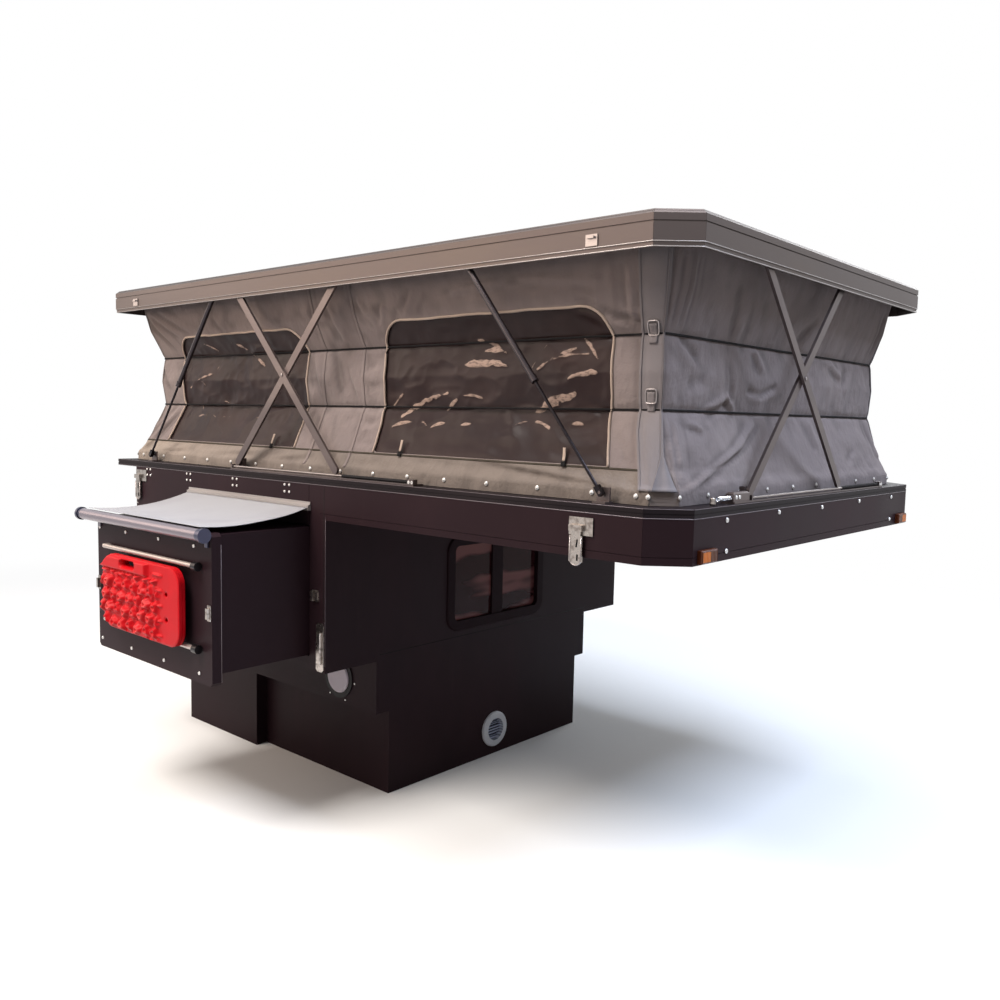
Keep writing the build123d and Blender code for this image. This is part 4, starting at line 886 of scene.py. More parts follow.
tent_points = on_wall(moved_s, moved_z)
tent = mesh_piece("tent_canvas", tent_points.reshape(-1, 3),
                  grid_faces(ROWS, len(S), closed=True, hole=open_faces), FINISHES["canvas"])
tent_uv = np.stack([moved_s, moved_z - LEDGE_Z], -1).reshape(-1, 2)
set_uv(tent, tent_uv)
# painted shade in the hollows between folds, and a darker band along the foot
pit = relief - (np.roll(relief, 6, 1) + np.roll(relief, -6, 1)) / 2
crease_shade_and_dark_foot = np.clip(-pit * 90, 0, 0.45) + 0.2 * (1 - soft_step(grid_z, LEDGE_Z, LEDGE_Z + 0.03))
set_value(tent, "crease_shade_and_dark_foot", np.clip(crease_shade_and_dark_foot, 0, 1))
side_of = np.abs(outside[:, :, 1]) ** 4
band = (1 - soft_step(grid_z, LEDGE_Z + ZIP_UP - 0.006, LEDGE_Z + ZIP_UP)) * side_of
set_value(tent, "foot_band", 0.85 * band)
print("tent faces:", len(tent.data.polygons))

# %% [markdown]
# Each pane is a grid of its own, just inside the cloth and a little wider than its window. Vinyl
# folds into hard facets, which noise with sharp valleys gives. The pale crease marks are painted
# reflections, listed one by one.


# %% Vinyl panes
# painted reflections along the creases, in millimetres: both ends, as length from the window's rear
# end and height over the ledge, then the half width
REAR_CREASE_REFLECTIONS = (
    (207, 535, 297, 495, 4.5), (416, 535, 577, 463, 6.5), (577, 463, 638, 431, 7.5),
    (266, 414, 312, 462, 3), (53, 342, 259, 406, 5), (142, 375, 188, 349, 4), (318, 283, 362, 271, 4.5),
    (132, 265, 163, 240, 4.5), (115, 206, 210, 220, 4), (241, 225, 294, 209, 4.5),
    (332, 210, 391, 215, 3.5), (603, 214, 658, 213, 3),
)
FRONT_CREASE_REFLECTIONS = (
    (450, 491, 582, 445, 6), (488, 454, 578, 448, 9.5), (401, 410, 591, 402, 13), (699, 395, 756, 465, 3),
    (722, 389, 871, 450, 5.5), (743, 406, 919, 432, 4.5), (897, 479, 954, 417, 7), (846, 359, 952, 377, 9),
    (711, 256, 869, 311, 15), (704, 227, 779, 209, 9), (620, 205, 689, 227, 4.5),
    (865, 222, 903, 220, 7.5), (93, 233, 316, 315, 12), (317, 258, 361, 293, 6.5), (386, 306, 480, 299, 4),
    (54, 195, 161, 214, 5.5), (199, 218, 236, 203, 5), (255, 197, 318, 214, 5.5),
    (393, 206, 436, 213, 5.5), (33, 269, 91, 315, 4.5), (151, 256, 198, 283, 8),
)
REFLECTION_BOW = 0.06
PANE_LAP = 0.012


def crease_reflection_field(along_window, up, listed, seed):
    """Depth inside the painted reflections along a pane's creases, 0.5 at their torn edge, each 20 mm being
    1.
    """
    field = np.zeros_like(up)
    rough = (value_noise(along_window + 1, up + 1, 0.034, 0.022, seed)
             + 0.6 * value_noise(along_window + 1, up + 1, 0.014, 0.012, seed + 1))
    for u0, v0, u1, v1, half in np.array(listed) / 1000:
        run_u, run_v = u1 - u0, v1 - v0
        share = np.clip(((along_window - u0) * run_u + (up - v0) * run_v) / (run_u ** 2 + run_v ** 2), 0, 1)
        bow = REFLECTION_BOW * np.hypot(run_u, run_v) * np.sin(np.pi * share)
        away = np.hypot(along_window - u0 - share * run_u, up - v0 - share * run_v - bow)
        wide = half * (0.2 + 0.8 * np.sin(np.pi * np.clip(share, 0.04, 0.96)) ** 0.7)
        field = np.maximum(field, 0.5 + (0.92 * wide - away - 0.5 * half * rough) / 0.02)
    return np.clip(field, 0, 1)


def vinyl_pane(name, ends, listed, flip, seed):
    """One soft window, a film just inside the cloth."""
    s = np.linspace(ends[0] - PANE_LAP, ends[1] + PANE_LAP, 200)
    z = np.linspace(WINDOW_Z0 - PANE_LAP, WINDOW_Z1 + PANE_LAP, 96)
    s, z = np.meshgrid(s, z)
    facets = np.abs(value_noise(s + 0.6 * z, z - 0.2 * s, 0.17, 0.10, seed))
    small = np.abs(value_noise(s - 0.5 * z, z, 0.05, 0.036, seed + 1))
    edge = soft_step(-edge_distance(s, z, ends), 0.0, 0.05)
    smooth_foot = soft_step(z, LEDGE_Z + 0.15, LEDGE_Z + 0.21)
    from_rear = ends[1] - s if flip else s - ends[0]
    field = crease_reflection_field(from_rear, z - LEDGE_Z, listed, seed + 2) * soft_step(edge, 0.05, 0.35)
    crease_reflections = soft_step(field, 0.42, 0.62)
    puckers = 0.0085 * facets + 0.0022 * small * smooth_foot
    inward = 0.004 + edge * puckers * (1 - 0.6 * cord_bite(z)) - 0.002 * crease_reflections
    points = on_wall(s, z, 0.0) - on_wall_way(s, z) * inward[..., None]
    pane = mesh_piece(name, points.reshape(-1, 3), grid_faces(*s.shape), FINISHES["clear_vinyl"])
    set_uv(pane, np.stack([s, z - LEDGE_Z], -1).reshape(-1, 2))
    set_value(pane, "crease_reflection", field)
    return pane


def on_wall_way(s, z):
    """The way out of the cloth."""
    return on_wall(s, z, 1.0) - on_wall(s, z, 0.0)


# the length along the cloth runs forward on the starboard side and backward on the port side
panes = []
for i, ends in enumerate(window_places()):
    crease_reflections = REAR_CREASE_REFLECTIONS if i % 2 == 0 else FRONT_CREASE_REFLECTIONS
    panes.append(vinyl_pane(f"vinyl_pane_{i + 1}", ends, crease_reflections, i > 1, 20 + 5 * i))
print("panes:", [len(p.data.polygons) for p in panes])

# %% [markdown]
# ## Cords, piping, zips and webbing
# Everything sewn on the cloth follows it: a line of lengths and heights is laid on the wall by
# `on_wall`, then swept or widened. The two elastic cords run right round in the cloth's waist.

# %% Elastic cords and window piping
CORD_R, PIPING_R = 0.0034, 0.0044
sewn = []
for label, z in (("low", CORD_LOW_Z), ("high", CORD_HIGH_Z)):
    line = on_wall(S[::3], np.full(len(S[::3]), z), CORD_R * 0.9)
    sewn.append(tube(f"elastic_cord_{label}", line, CORD_R, elastic.material, closed=True))


def window_outline(ends, lift):
    """The piped part of a window's edge: up one side, over the top and down the other."""
    s0, s1 = ends
    turns = np.linspace(0, np.pi / 2, 9)
    rise = np.linspace(WINDOW_Z0, WINDOW_Z1 - TOP_R, 40)
    left = np.stack([np.full_like(rise, s0), rise], 1)
    over = np.stack([s0 + TOP_R - TOP_R * np.cos(turns), WINDOW_Z1 - TOP_R + TOP_R * np.sin(turns)], 1)
    top_s = np.linspace(s0 + TOP_R, s1 - TOP_R, 60)[1:-1]
    top = np.stack([top_s, np.full_like(top_s, WINDOW_Z1)], 1)
    back = np.stack([s1 + s0 - over[::-1, 0], over[::-1, 1]], 1)
    right = np.stack([np.full_like(rise, s1), rise[::-1]], 1)
    line = np.concatenate([left, over, top, back, right])
    sway = 0.004 * value_noise(line[:, 0] * 3, line[:, 1] * 3, 0.16, 0.16, 41)
    return on_wall(line[:, 0] + sway, line[:, 1] + sway * 0.5, lift)


for i, ends in enumerate(window_places()):
    line = window_outline(ends, 0.002)
    sewn.append(tube(f"window_piping_{i + 1}", line, PIPING_R, piping.material, sides=7))
print("piping on", len(panes), "windows")

# %% [markdown]
# Webbing, zips and tapes are flat strips sewn on the cloth. A strip is a small grid laid on the
# wall, raised at its edges and given thickness, so that it follows every fold under it. The buckles
# are bent wire, so a tube round a squarish loop is enough.

# %% Ribbons: zips and corner webbing
TAPE_STEP, TAPE_THICK = 0.007, 0.002


def ribbon(name, s, z, material, lift=0.003, edge=0.0015):
    """A tape sewn on the cloth between two lengths and two heights, a little thicker at its edges."""
    count = [max(3, round((run[1] - run[0]) / TAPE_STEP)) for run in (s, z)]
    across, up = np.meshgrid(np.linspace(*s, count[0] + 1), np.linspace(*z, count[1] + 1))
    narrow = min(s[1] - s[0], z[1] - z[0])
    rim = np.minimum.reduce([across - s[0], s[1] - across, up - z[0], z[1] - up]) < 0.12 * narrow
    points = on_wall(across, up, 0.0) + on_wall_way(across, up) * (lift + edge * rim)[..., None]
    tape = mesh_piece(name, points.reshape(-1, 3), grid_faces(*across.shape), material)
    set_uv(tape, points_of(across, up - LEDGE_Z, 0)[:, :2])
    tape.modifiers.new("thickness", "SOLIDIFY").thickness = TAPE_THICK
    sewn.append(tape)


TAPE_Z = (STRIP_TOP + 0.004, TENT_HIGH[2] - 0.01)
PULL_X = (WALL_X - 0.460, WALL_X + 0.294, WALL_X + 1.004)
BUCKLE_Z = (CORD_LOW_Z + 0.026, CORD_HIGH_Z + 0.002)
ZIP_Z = LEDGE_Z + ZIP_UP
EDGE_WIDE = 0.006
BUCKLE_HALF, BUCKLE_LIFT, BUCKLE_WIRE = (0.017, 0.020), 0.0075, 0.0022
buckles = []


def buckle(name, s, z):
    """Wire frame of a strap buckle, lying on the webbing."""
    turns = np.linspace(0, 2 * np.pi, 28, endpoint=False)
    wide, tall = np.cos(turns), np.sin(turns)
    across = s + BUCKLE_HALF[0] * np.sign(wide) * np.abs(wide) ** 0.4
    up = z + BUCKLE_HALF[1] * np.sign(tall) * np.abs(tall) ** 0.4
    line = on_wall(across, up, BUCKLE_LIFT)
    buckles.append(tube(name, line, BUCKLE_WIRE, satin_rod.material, closed=True))


for side, label in SIDES:
    ends = webbing_place(side)
    ribbon(f"corner_webbing_{label}", ends, TAPE_Z, webbing.material, 0.0035)
    for number, z in enumerate(BUCKLE_Z, 1):
        middle = sum(ends) / 2
        buckle(f"webbing_buckle_{label}_{number}", middle, z + 0.012)
        tab_z = (z - 0.030, z + 0.024)
        ribbon(f"buckle_tab_{label}_{number}", about(middle, 0.012), tab_z, webbing.material, 0.006)
    for edge in (-EDGE_WIDE, WEBBING_WIDE - EDGE_WIDE):
        place = min(ends) + edge + 0.004
        name = f"webbing_edge_{label}_{round(edge * 1000)}"
        ribbon(name, (place, place + EDGE_WIDE), TAPE_Z, webbing.material, 0.0065)
    ends = sorted((along_side(TAIL_X + 0.10, side), along_side(WEBBING_X - 0.004, side)))
    ribbon(f"zip_line_{label}", ends, (ZIP_Z - 0.003, ZIP_Z + 0.001), stitched.material, 0.002, 0.001)
    for x in SEAM_X:
        place = about(along_side(x, side), SEAM_HALF)
        ribbon(f"side_seam_{label}_{round(x * 100)}", place, TAPE_Z, FINISHES["canvas"], 0.0015, 0.001)
    for number, x in enumerate(PULL_X, 1):
        middle = along_side(x, side)
        slider_z, tab_z = (ZIP_Z - 0.004, ZIP_Z + 0.014), (ZIP_Z + 0.012, ZIP_Z + 0.052)
        ribbon(f"zip_slider_{label}_{number}", about(middle, 0.008), slider_z, elastic.material, 0.006)
        ribbon(f"zip_tab_{label}_{number}", about(middle, 0.0045), tab_z, piping.material, 0.006)
print("sewn pieces:", len(sewn), "buckles:", len(buckles))

# %% [markdown]
# Every piece of the tent has its modifiers applied, gets a mesh of its own and rides on the camper.


def folds_with_tent(piece):
    """A piece of the tent: its modifiers are applied, and it rides on the camper with a mesh of its own."""
    if piece.modifiers:
        made_plain(piece)
    dress(piece, "camper")
    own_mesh(piece)


for slot, pieces in (("canvas", [tent, *sewn]), ("bright_steel", buckles), ("clear_vinyl", panes)):
    for piece in pieces:
        folds_with_tent(piece)
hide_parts("canvas")
for pane in panes:
    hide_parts("canvas_windows")
window_high = WINDOW_Z1 - WINDOW_Z0
window_area = sum((b - a) * window_high for a, b in window_places())
for pane, ends in zip(panes, window_places()):
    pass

# %% [markdown]
# ## The awning over the slide-out
# A sheet of coated cloth runs from the rail on the wall to a sprung roller on the slide-out, and
# keeps rain off its roof. Its own weight makes it sag in an arc, deepest along the middle.

# %% Awning cloth
COVER_LOW, COVER_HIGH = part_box("topper_fabric")
COVER_SAG = 0.024
COVER_COLUMNS, COVER_ROWS = 72, 34
cover_x, cover_t = np.meshgrid(np.linspace(COVER_LOW[0] + 0.001, COVER_HIGH[0] - 0.001, COVER_COLUMNS),
                               np.linspace(0, 1, COVER_ROWS))
# the front edge draws in beside the roller's end cap
drawn_in = 0.021 * soft_step(cover_t, 0.1, 0.48)
cover_x -= drawn_in * (cover_x - COVER_LOW[0]) / (COVER_HIGH[0] - COVER_LOW[0])
rail_z, roller_z = COVER_HIGH[2] - 0.0025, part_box("topper_roller")[1][2] + 0.0022
cover_y = COVER_HIGH[1] - 0.0005 + (COVER_LOW[1] - COVER_HIGH[1] + 0.001) * cover_t
cover_z = rail_z + (roller_z - rail_z) * cover_t - 4 * COVER_SAG * cover_t * (1 - cover_t)
hang = np.sin(np.pi * cover_t)
cover_z += hang * 0.0025 * value_noise(cover_x, cover_y, 0.19, 0.5, 51)
cover_z += hang ** 2 * 0.0012 * value_noise(cover_x, cover_y, 0.05, 0.4, 52)
awning = mesh_piece("awning_cloth", points_of(cover_x, cover_y, cover_z),
                    grid_faces(COVER_ROWS, COVER_COLUMNS), FINISHES["topper_vinyl"])
cover_run = float(np.hypot(np.diff(cover_y[:, 0]), np.diff(cover_z[:, 0])).sum())
set_uv(awning, np.stack([cover_x, cover_t * cover_run], -1).reshape(-1, 2))
awning_edge = awning.modifiers.new("thickness", "SOLIDIFY")
awning_edge.thickness = 0.0012
awning_edge.offset = 0
made_plain(awning)
dress(awning, "camper")
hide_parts("topper_fabric")
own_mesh(awning)
print("awning cloth", round(cover_run, 3), "m from rail to roller")

# %% [markdown]
# ## Recovery boards
# Two moulded traction boards hang on the slide-out's face. Their teeth are rows of rounded lumps
# with ribs between them. Such a face is a height over a flat plan: each grid point is raised by
# the nearest lump, the grid is cut to the board's outline, and a flat back closes it.

# %% Recovery boards
BOARD_LOW, BOARD_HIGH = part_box("recovery_boards")
BOARD_THICK = 0.0125
BOARD_END_R, BOARD_TEETH_R = 0.062, 0.010
BEVEL_UP, BEVEL_BACK = 0.048, 0.068
SLOT_LOW = (BOARD_LOW[0] + 0.169, BOARD_HIGH[2] - 0.034)
SLOT_HIGH = (BOARD_LOW[0] + 0.276, BOARD_HIGH[2] - 0.012)
SIGHT_HOLES = [(BOARD_HIGH[0] - 0.088, BOARD_LOW[2] + up) for up in (0.092, 0.184)]
LUMP_HIGH = 0.0218
LUMP_PITCH_X, LUMP_PITCH_Z = 0.062, 0.050
WAVE_PITCH = 0.055
SNAP_REACH = 0.0022


def board_edge(x, z):
    """Distance outside the board's outline: round at the front end, toothed at the rear."""
    radius = np.where(x > (BOARD_LOW[0] + BOARD_HIGH[0]) / 2, BOARD_END_R, BOARD_TEETH_R)
    teeth = 0.007 * np.clip(np.abs(((z / 0.034) % 1) - 0.5) * 4 - 0.5, 0, 1)
    near_rear = 1 - soft_step(x, BOARD_LOW[0] + 0.01, BOARD_LOW[0] + 0.04)
    low, high = (BOARD_LOW[0] + 0.0015, BOARD_LOW[2]), (BOARD_HIGH[0], BOARD_HIGH[2])
    plan = rounded_distance(x, z, low, high, radius)
    from_corner = np.minimum(z - BOARD_LOW[2], BOARD_HIGH[2] - z)
    cut = (BEVEL_UP - from_corner) * BEVEL_BACK - (x - BOARD_LOW[0]) * BEVEL_UP
    cut /= math.hypot(BEVEL_UP, BEVEL_BACK)
    return np.maximum(plan, cut) + teeth * near_rear


def board_holes(x, z):
    """Distance outside the hand slot and the two fixing holes."""
    slot = rounded_distance(x, z, SLOT_LOW, SLOT_HIGH, 0.010)
    return np.minimum.reduce([slot] + [np.hypot(x - hx, z - hz) - 0.009 for hx, hz in SIGHT_HOLES])


LUMP_TABLE = np.random.RandomState(71).uniform(-1, 1, (32, 32, 4))


def board_height(x, z):
    """Height of the lumps, ribs and rolled top band over the board's flat face."""
    row = np.round((z - BOARD_LOW[2] - 0.030) / LUMP_PITCH_Z)
    shift = 0.5 * (row % 2)
    column = np.round((x - BOARD_LOW[0] - 0.040) / LUMP_PITCH_X - shift)
    drawn = LUMP_TABLE[column.astype(int) % 32, row.astype(int) % 32]
    centre_x = BOARD_LOW[0] + 0.040 + (column + shift) * LUMP_PITCH_X + 0.005 * drawn[..., 0]
    centre_z = BOARD_LOW[2] + 0.030 + row * LUMP_PITCH_Z + 0.005 * drawn[..., 1]
    turned = np.arctan2(z - centre_z, x - centre_x)
    away = np.hypot((x - centre_x) * 0.85, z - centre_z) / (1 + 0.2 * np.cos(3 * turned + 3 * drawn[..., 2]))
    lump = (0.78 + 0.22 * drawn[..., 3]) * (1 - soft_step(away, 0.008, 0.028))
    dimple = 0.3 * np.exp(-((away - 0.002) / 0.005) ** 2)
    cell = value_noise(x, z, 0.020, 0.016, 72)
    ribs = 0.30 * soft_step(cell, 0.1, 0.5)
    front, top = BOARD_HIGH[0], BOARD_HIGH[2]
    on_field = 1 - soft_step(x, front - 0.160, front - 0.120)
    on_field = on_field * (1 - soft_step(z, top - 0.062, top - 0.052))
    band = soft_step(z, top - 0.056, top - 0.046) * (1 - soft_step(z, top - 0.010, top))
    band *= 1 - soft_step(x, front - 0.225, front - 0.205)
    from_wave = np.abs(((z - BOARD_LOW[2]) / WAVE_PITCH) % 1 - 0.5) * WAVE_PITCH
    waves = 0.34 * np.exp(-(from_wave / 0.0045) ** 2)
    waves *= soft_step(x, front - 0.190, front - 0.165) * (1 - soft_step(x, front - 0.125, front - 0.105))
    field = np.maximum(lump - dimple, ribs) * on_field
    return LUMP_HIGH * np.clip(np.maximum.reduce([field, 0.62 * band, waves]), 0, 1)


def board(name, back_y, tall):
    """One closed board whose back lies at back_y."""
    x, z = np.meshgrid(*(np.linspace(BOARD_LOW[k], BOARD_HIGH[k], count) for k, count in ((0, 200), (2, 98))))
    middle_x, middle_z = middles(x), middles(z)
    for outline in (board_edge, board_holes):
        x, z = snap_to(x, z, outline, SNAP_REACH)
    left_out = (board_edge(middle_x, middle_z) > 0) | (board_holes(middle_x, middle_z) < 0)
    rim = soft_step(np.minimum(-board_edge(x, z), board_holes(x, z)), 0.0, 0.006)
    face = back_y - BOARD_THICK + 0.002 - 0.002 * rim - tall * board_height(x, z) * rim
    quads = grid_faces(*x.shape, hole=left_out)
    front, back = points_of(x, face, z), points_of(x, back_y, z)
    piece, kept = closed_slab(name, front, back, quads, FINISHES["red_plastic"])
    piece.data.set_sharp_from_angle(angle=math.radians(50))
    high = (board_height(x, z) * rim / LUMP_HIGH * tall).ravel()
    worn = np.concatenate([soft_step(high, 0.55, 0.95) * 0.6, np.zeros(x.size)])
    set_value(piece, "worn", worn[kept])
    return piece


BOARDS_APART = 0.0002
board_back = BOARD_LOW[1] + LUMP_HIGH + BOARDS_APART + 2 * BOARD_THICK
boards = [board("recovery_board_inner", board_back, 0.0),
          board("recovery_board_outer", board_back - BOARD_THICK - BOARDS_APART, 1.0)]
for piece in boards:
    dress(piece, "slideout")
    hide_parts("recovery_boards")
print("board faces:", [len(piece.data.polygons) for piece in boards])

# %% [markdown]
# ## Mattress
# The bed fills the cabover tray under the tent. It is one closed form: its top is crowned between
# rows of quilting, and its underside lies flat on the tray.

# %% Mattress
BED_LOW, BED_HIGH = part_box("mattress")
BED_CUT = 0.098
QUILT = 0.24
CROWN_HIGH, QUILT_DEEP, BED_LAP = 0.016, 0.007, 0.008


def bed_edge(x, y):
    """Distance outside the mattress's outline, whose front corners are cut off like the pod's."""
    plan = rounded_distance(x, y, BED_LOW[:2], BED_HIGH[:2], 0.020)
    corner = ((x - BED_HIGH[0]) + (np.abs(y) - BED_HIGH[1]) + BED_CUT) / math.sqrt(2)
    return np.maximum(plan, corner)


bed_lines = [np.linspace(BED_LOW[k], BED_HIGH[k], count) for k, count in ((0, 120), (1, 150))]
bed_x, bed_y = np.meshgrid(*bed_lines)
bed_middle = bed_edge(middles(bed_x), middles(bed_y))
bed_x, bed_y = snap_to(bed_x, bed_y, bed_edge, BED_LAP)
inside = -bed_edge(bed_x, bed_y)
rows_of_tufts = [np.abs(np.sin(np.pi * run / QUILT)) for run in (bed_x - BED_LOW[0], bed_y)]
quilting = QUILT_DEEP * np.exp(-(np.minimum(*rows_of_tufts) / 0.14) ** 2)
crown = CROWN_HIGH * (1 - soft_step(inside, 0.0, 0.05)) + quilting * soft_step(inside, 0.0, 0.04)
bed_top = points_of(bed_x, bed_y, BED_HIGH[2] - 0.001 - crown)
bed_under = points_of(bed_x, bed_y, BED_LOW[2])
bed_quads = grid_faces(*bed_x.shape, hole=bed_middle > 0)
mattress, bed_kept = closed_slab("quilted_mattress", bed_top, bed_under, bed_quads,
                                 FINISHES["mattress_fabric"])
set_uv(mattress, np.concatenate([bed_top, bed_under])[bed_kept][:, :2])
mattress.data.set_sharp_from_angle(angle=math.radians(60))
dress(mattress, "camper")
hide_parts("mattress")
print("mattress faces:", len(mattress.data.polygons))

# %% [markdown]
# ## Gaiters
# A ribbed rubber sleeve covers the free end of each guide rod.

# %% Gaiters
ROD_LOW, ROD_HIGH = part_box("guide_rods")
SIDE_FOOT_X, END_FOOT_Y = WALL_X - 0.615, -0.480
SLEEVE_FROM, SLEEVE_TO = 0.690, 1.0446
ROD_IN = 0.017
rod_z = (ROD_LOW[2] + ROD_HIGH[2]) / 2
RIBS = 34
RIB_STEPS = 4
GAITER_R, RIB_OUT = 0.0048, 0.0017
SIDE_ROD_Y = {label: side * (HALF_W - ROD_IN) for side, label in SIDES}


def rod_line(label, near, far, count):
    """Points along one guide rod, by distance from the fixed foot."""
    run = np.linspace(near, far, count)
    if label in SIDE_ROD_Y:
        return points_of(SIDE_FOOT_X + run, SIDE_ROD_Y[label], rod_z)
    x = NOSE_X - ROD_IN if label == "front" else TAIL_X + ROD_IN
    return points_of(x, END_FOOT_Y + run, rod_z)


for label in ("stbd", "port", "front", "rear"):
    count = RIBS * RIB_STEPS + 1
    line = rod_line(label, SLEEVE_FROM, SLEEVE_TO, count)
    ribbed = GAITER_R + RIB_OUT * np.abs(np.sin(np.linspace(0, RIBS * np.pi, count)))
    sleeve = tube(f"rod_gaiter_{label}", line, ribbed, FINISHES["black_rubber"], sides=14)
    way = (1, 0, 0) if label in SIDE_ROD_Y else (0, 1, 0)
    dress(sleeve, "camper")
    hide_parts("rod_gaiters")
    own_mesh(sleeve)
print("gaiters with", RIBS, "ribs each")

# %% [markdown]
# ## Fasteners
# Screws, snaps and rivets repeat a few small shapes. Each shape is turned on a lathe once;
# a Geometry Nodes group then sets it on a list of points, aims it along each point's own
# direction and gives it a random spin from a fixed seed. The result is baked to one plain mesh for
# each body, so that it moves with that body.


# %% Lathe and repeat group
LATHE_SIDES = 16


def lathe(name, profile):
    """Closed round shape from (radius, height) steps; the first and last step close it."""
    sides = LATHE_SIDES
    turns = np.linspace(0, 2 * np.pi, sides, endpoint=False)
    points = [(r * math.cos(t), r * math.sin(t), h) for r, h in profile for t in turns]
    faces = [tuple(reversed(range(sides)))]
    for step in range(len(profile) - 1):
        for k in range(sides):
            m = (k + 1) % sides
            a, b = step * sides, (step + 1) * sides
            faces.append((a + k, a + m, b + m, b + k))
    faces.append(tuple(range((len(profile) - 1) * sides, len(profile) * sides)))
    return mesh_piece(name, points, faces, bright.material, smooth=False)


STEPS = {
    "pan_head": ((1, 0), (1, 0.3), (0.86, 0.52), (0.45, 0.66), (0.30, 0.66), (0.26, 0.5), (0.05, 0.48)),
    "snap": ((1, 0), (1, 0.2), (0.82, 0.34), (0.55, 0.36), (0.5, 0.55), (0.3, 0.66), (0.05, 0.68)),
    "rivet": ((1, 0), (0.95, 0.25), (0.7, 0.48), (0.35, 0.6), (0.05, 0.63)),
    "flush": ((1, 0), (1, 0.10), (0.92, 0.17), (0.34, 0.17), (0.28, 0.06), (0.05, 0.05)),
}
SHAPES = {shape: lathe(f"shape_{shape}", steps) for shape, steps in STEPS.items()}
FULL_TURN = 6.283


def repeat_group():
    """Node group: a part on every point, aimed along the point's way and spun by a seeded turn."""
    group = bpy.data.node_groups.new("repeat_on_points", "GeometryNodeTree")
    for label, kind in (("Geometry", "NodeSocketGeometry"), ("Part", "NodeSocketObject"),
                        ("Seed", "NodeSocketInt"), ("Material", "NodeSocketMaterial")):
        group.interface.new_socket(label, in_out="INPUT", socket_type=kind)
    group.interface.new_socket("Geometry", in_out="OUTPUT", socket_type="NodeSocketGeometry")

    def add(kind, given, output=0, **settings):
        return put(group, kind, given, output, **settings)

    entry = group.nodes.new("NodeGroupInput").outputs
    way = add("GeometryNodeInputNamedAttribute", {"Name": "way"}, "Attribute", data_type="FLOAT_VECTOR")
    size = add("GeometryNodeInputNamedAttribute", {"Name": "size"}, "Attribute", data_type="FLOAT")
    aim = add("FunctionNodeAlignRotationToVector", {"Vector": way}, axis="Z")
    chance = add("FunctionNodeRandomValue", {3: FULL_TURN, "Seed": entry["Seed"]}, 1, data_type="FLOAT")
    spin = add("FunctionNodeAxisAngleToRotation", {"Angle": chance})
    turned = add("FunctionNodeRotateRotation", {"Rotation": aim, "Rotate By": spin}, rotation_space="LOCAL")
    part = add("GeometryNodeObjectInfo", {"Object": entry["Part"]}, "Geometry")
    spread = {"Points": entry["Geometry"], "Instance": part, "Rotation": turned, "Scale": size}
    whole = add("GeometryNodeRealizeInstances", {"Geometry": add("GeometryNodeInstanceOnPoints", spread)})
    painted = add("GeometryNodeSetMaterial", {"Geometry": whole, "Material": entry["Material"]})
    group.links.new(painted, group.nodes.new("NodeGroupOutput").inputs["Geometry"])
    return group


REPEAT = repeat_group()
clean_steel = Finish("clean_steel", srgb(214, 211, 208), 0.34, {"Metallic": 0.6})


def repeated(name, shape, places, ways, size, seed, body="camper", finish=clean_steel):
    """A baked mesh of one shape on many places."""
    places = np.atleast_2d(np.asarray(places, float))
    piece = mesh_piece(name, places, [], finish.material)
    ways = np.broadcast_to(np.asarray(ways, np.float32), places.shape)
    layer = piece.data.attributes.new("way", "FLOAT_VECTOR", "POINT")
    layer.data.foreach_set("vector", np.ascontiguousarray(ways).ravel())
    set_value(piece, "size", np.broadcast_to(np.asarray(size, np.float32), len(places)))
    nodes = piece.modifiers.new("repeat", "NODES")
    nodes.node_group = REPEAT
    given = {"Part": SHAPES[shape], "Seed": seed, "Material": finish.material}
    for socket in REPEAT.interface.items_tree:
        if socket.in_out == "INPUT" and socket.name in given:
            nodes[socket.identifier] = given[socket.name]
    made_plain(piece)
    dress(piece, body)


print("shapes:", sorted(SHAPES))

# %% [markdown]
# Each row of fasteners is a list of places on one face and the way out of that face. Places on the
# sides are counted from the front wall, so that one list serves both sides.

# %% Where the fasteners go
OUT_STBD, OUT_PORT, FORWARD, BACKWARD = (0, -1, 0), (0, 1, 0), (1, 0, 0), (-1, 0, 0)
TRACK_FACE = 0.0075
BRACKET_U = (1.052, 1.068)
BOLT_DX, BOLT_DZ = (-0.015, 0.015), (-0.0135, 0.0135)
CLUSTERS = ((-1.306, 1.249), (-0.956, 1.247), (-0.597, 1.247), (-0.238, 1.246))
SNAP_Z, SNAP_LIFT, SNAP_R = LEDGE_Z + 0.025, 0.0005, 0.0075
WING_BOLT_R, EDGE_RIVET_R, SIDE_SCREW_R, END_SCREW_R = 0.0052, 0.0032, 0.0055, 0.0062
NOSE_SCREW_R, FASCIA_SCREW_R, FILLER_SCREW_R, CROSS_RIVET_R = 0.0072, 0.0066, 0.0042, 0.0065
SIDE_SNAPS = (-1.400, -1.220, -1.044, -0.863, -0.686, -0.510, -0.335, -0.160, 0.015,
              0.190, 0.362, 0.534, 0.716, 0.916, 1.110, 1.255, 1.400)
END_SNAPS = (-0.800, -0.620, -0.440, -0.260, -0.080, 0.100, 0.280, 0.450, 0.630, 0.810)
wing_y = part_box("wing_walls")[1][1]


def snaps(label, lengths, seed):
    """Press studs along the foot of the tent."""
    spots = on_wall(lengths, np.full(len(lengths), SNAP_Z), SNAP_LIFT)
    repeated(f"canvas_snaps_{label}", "snap", spots, on_wall_way(lengths, SNAP_Z), SNAP_R, seed)


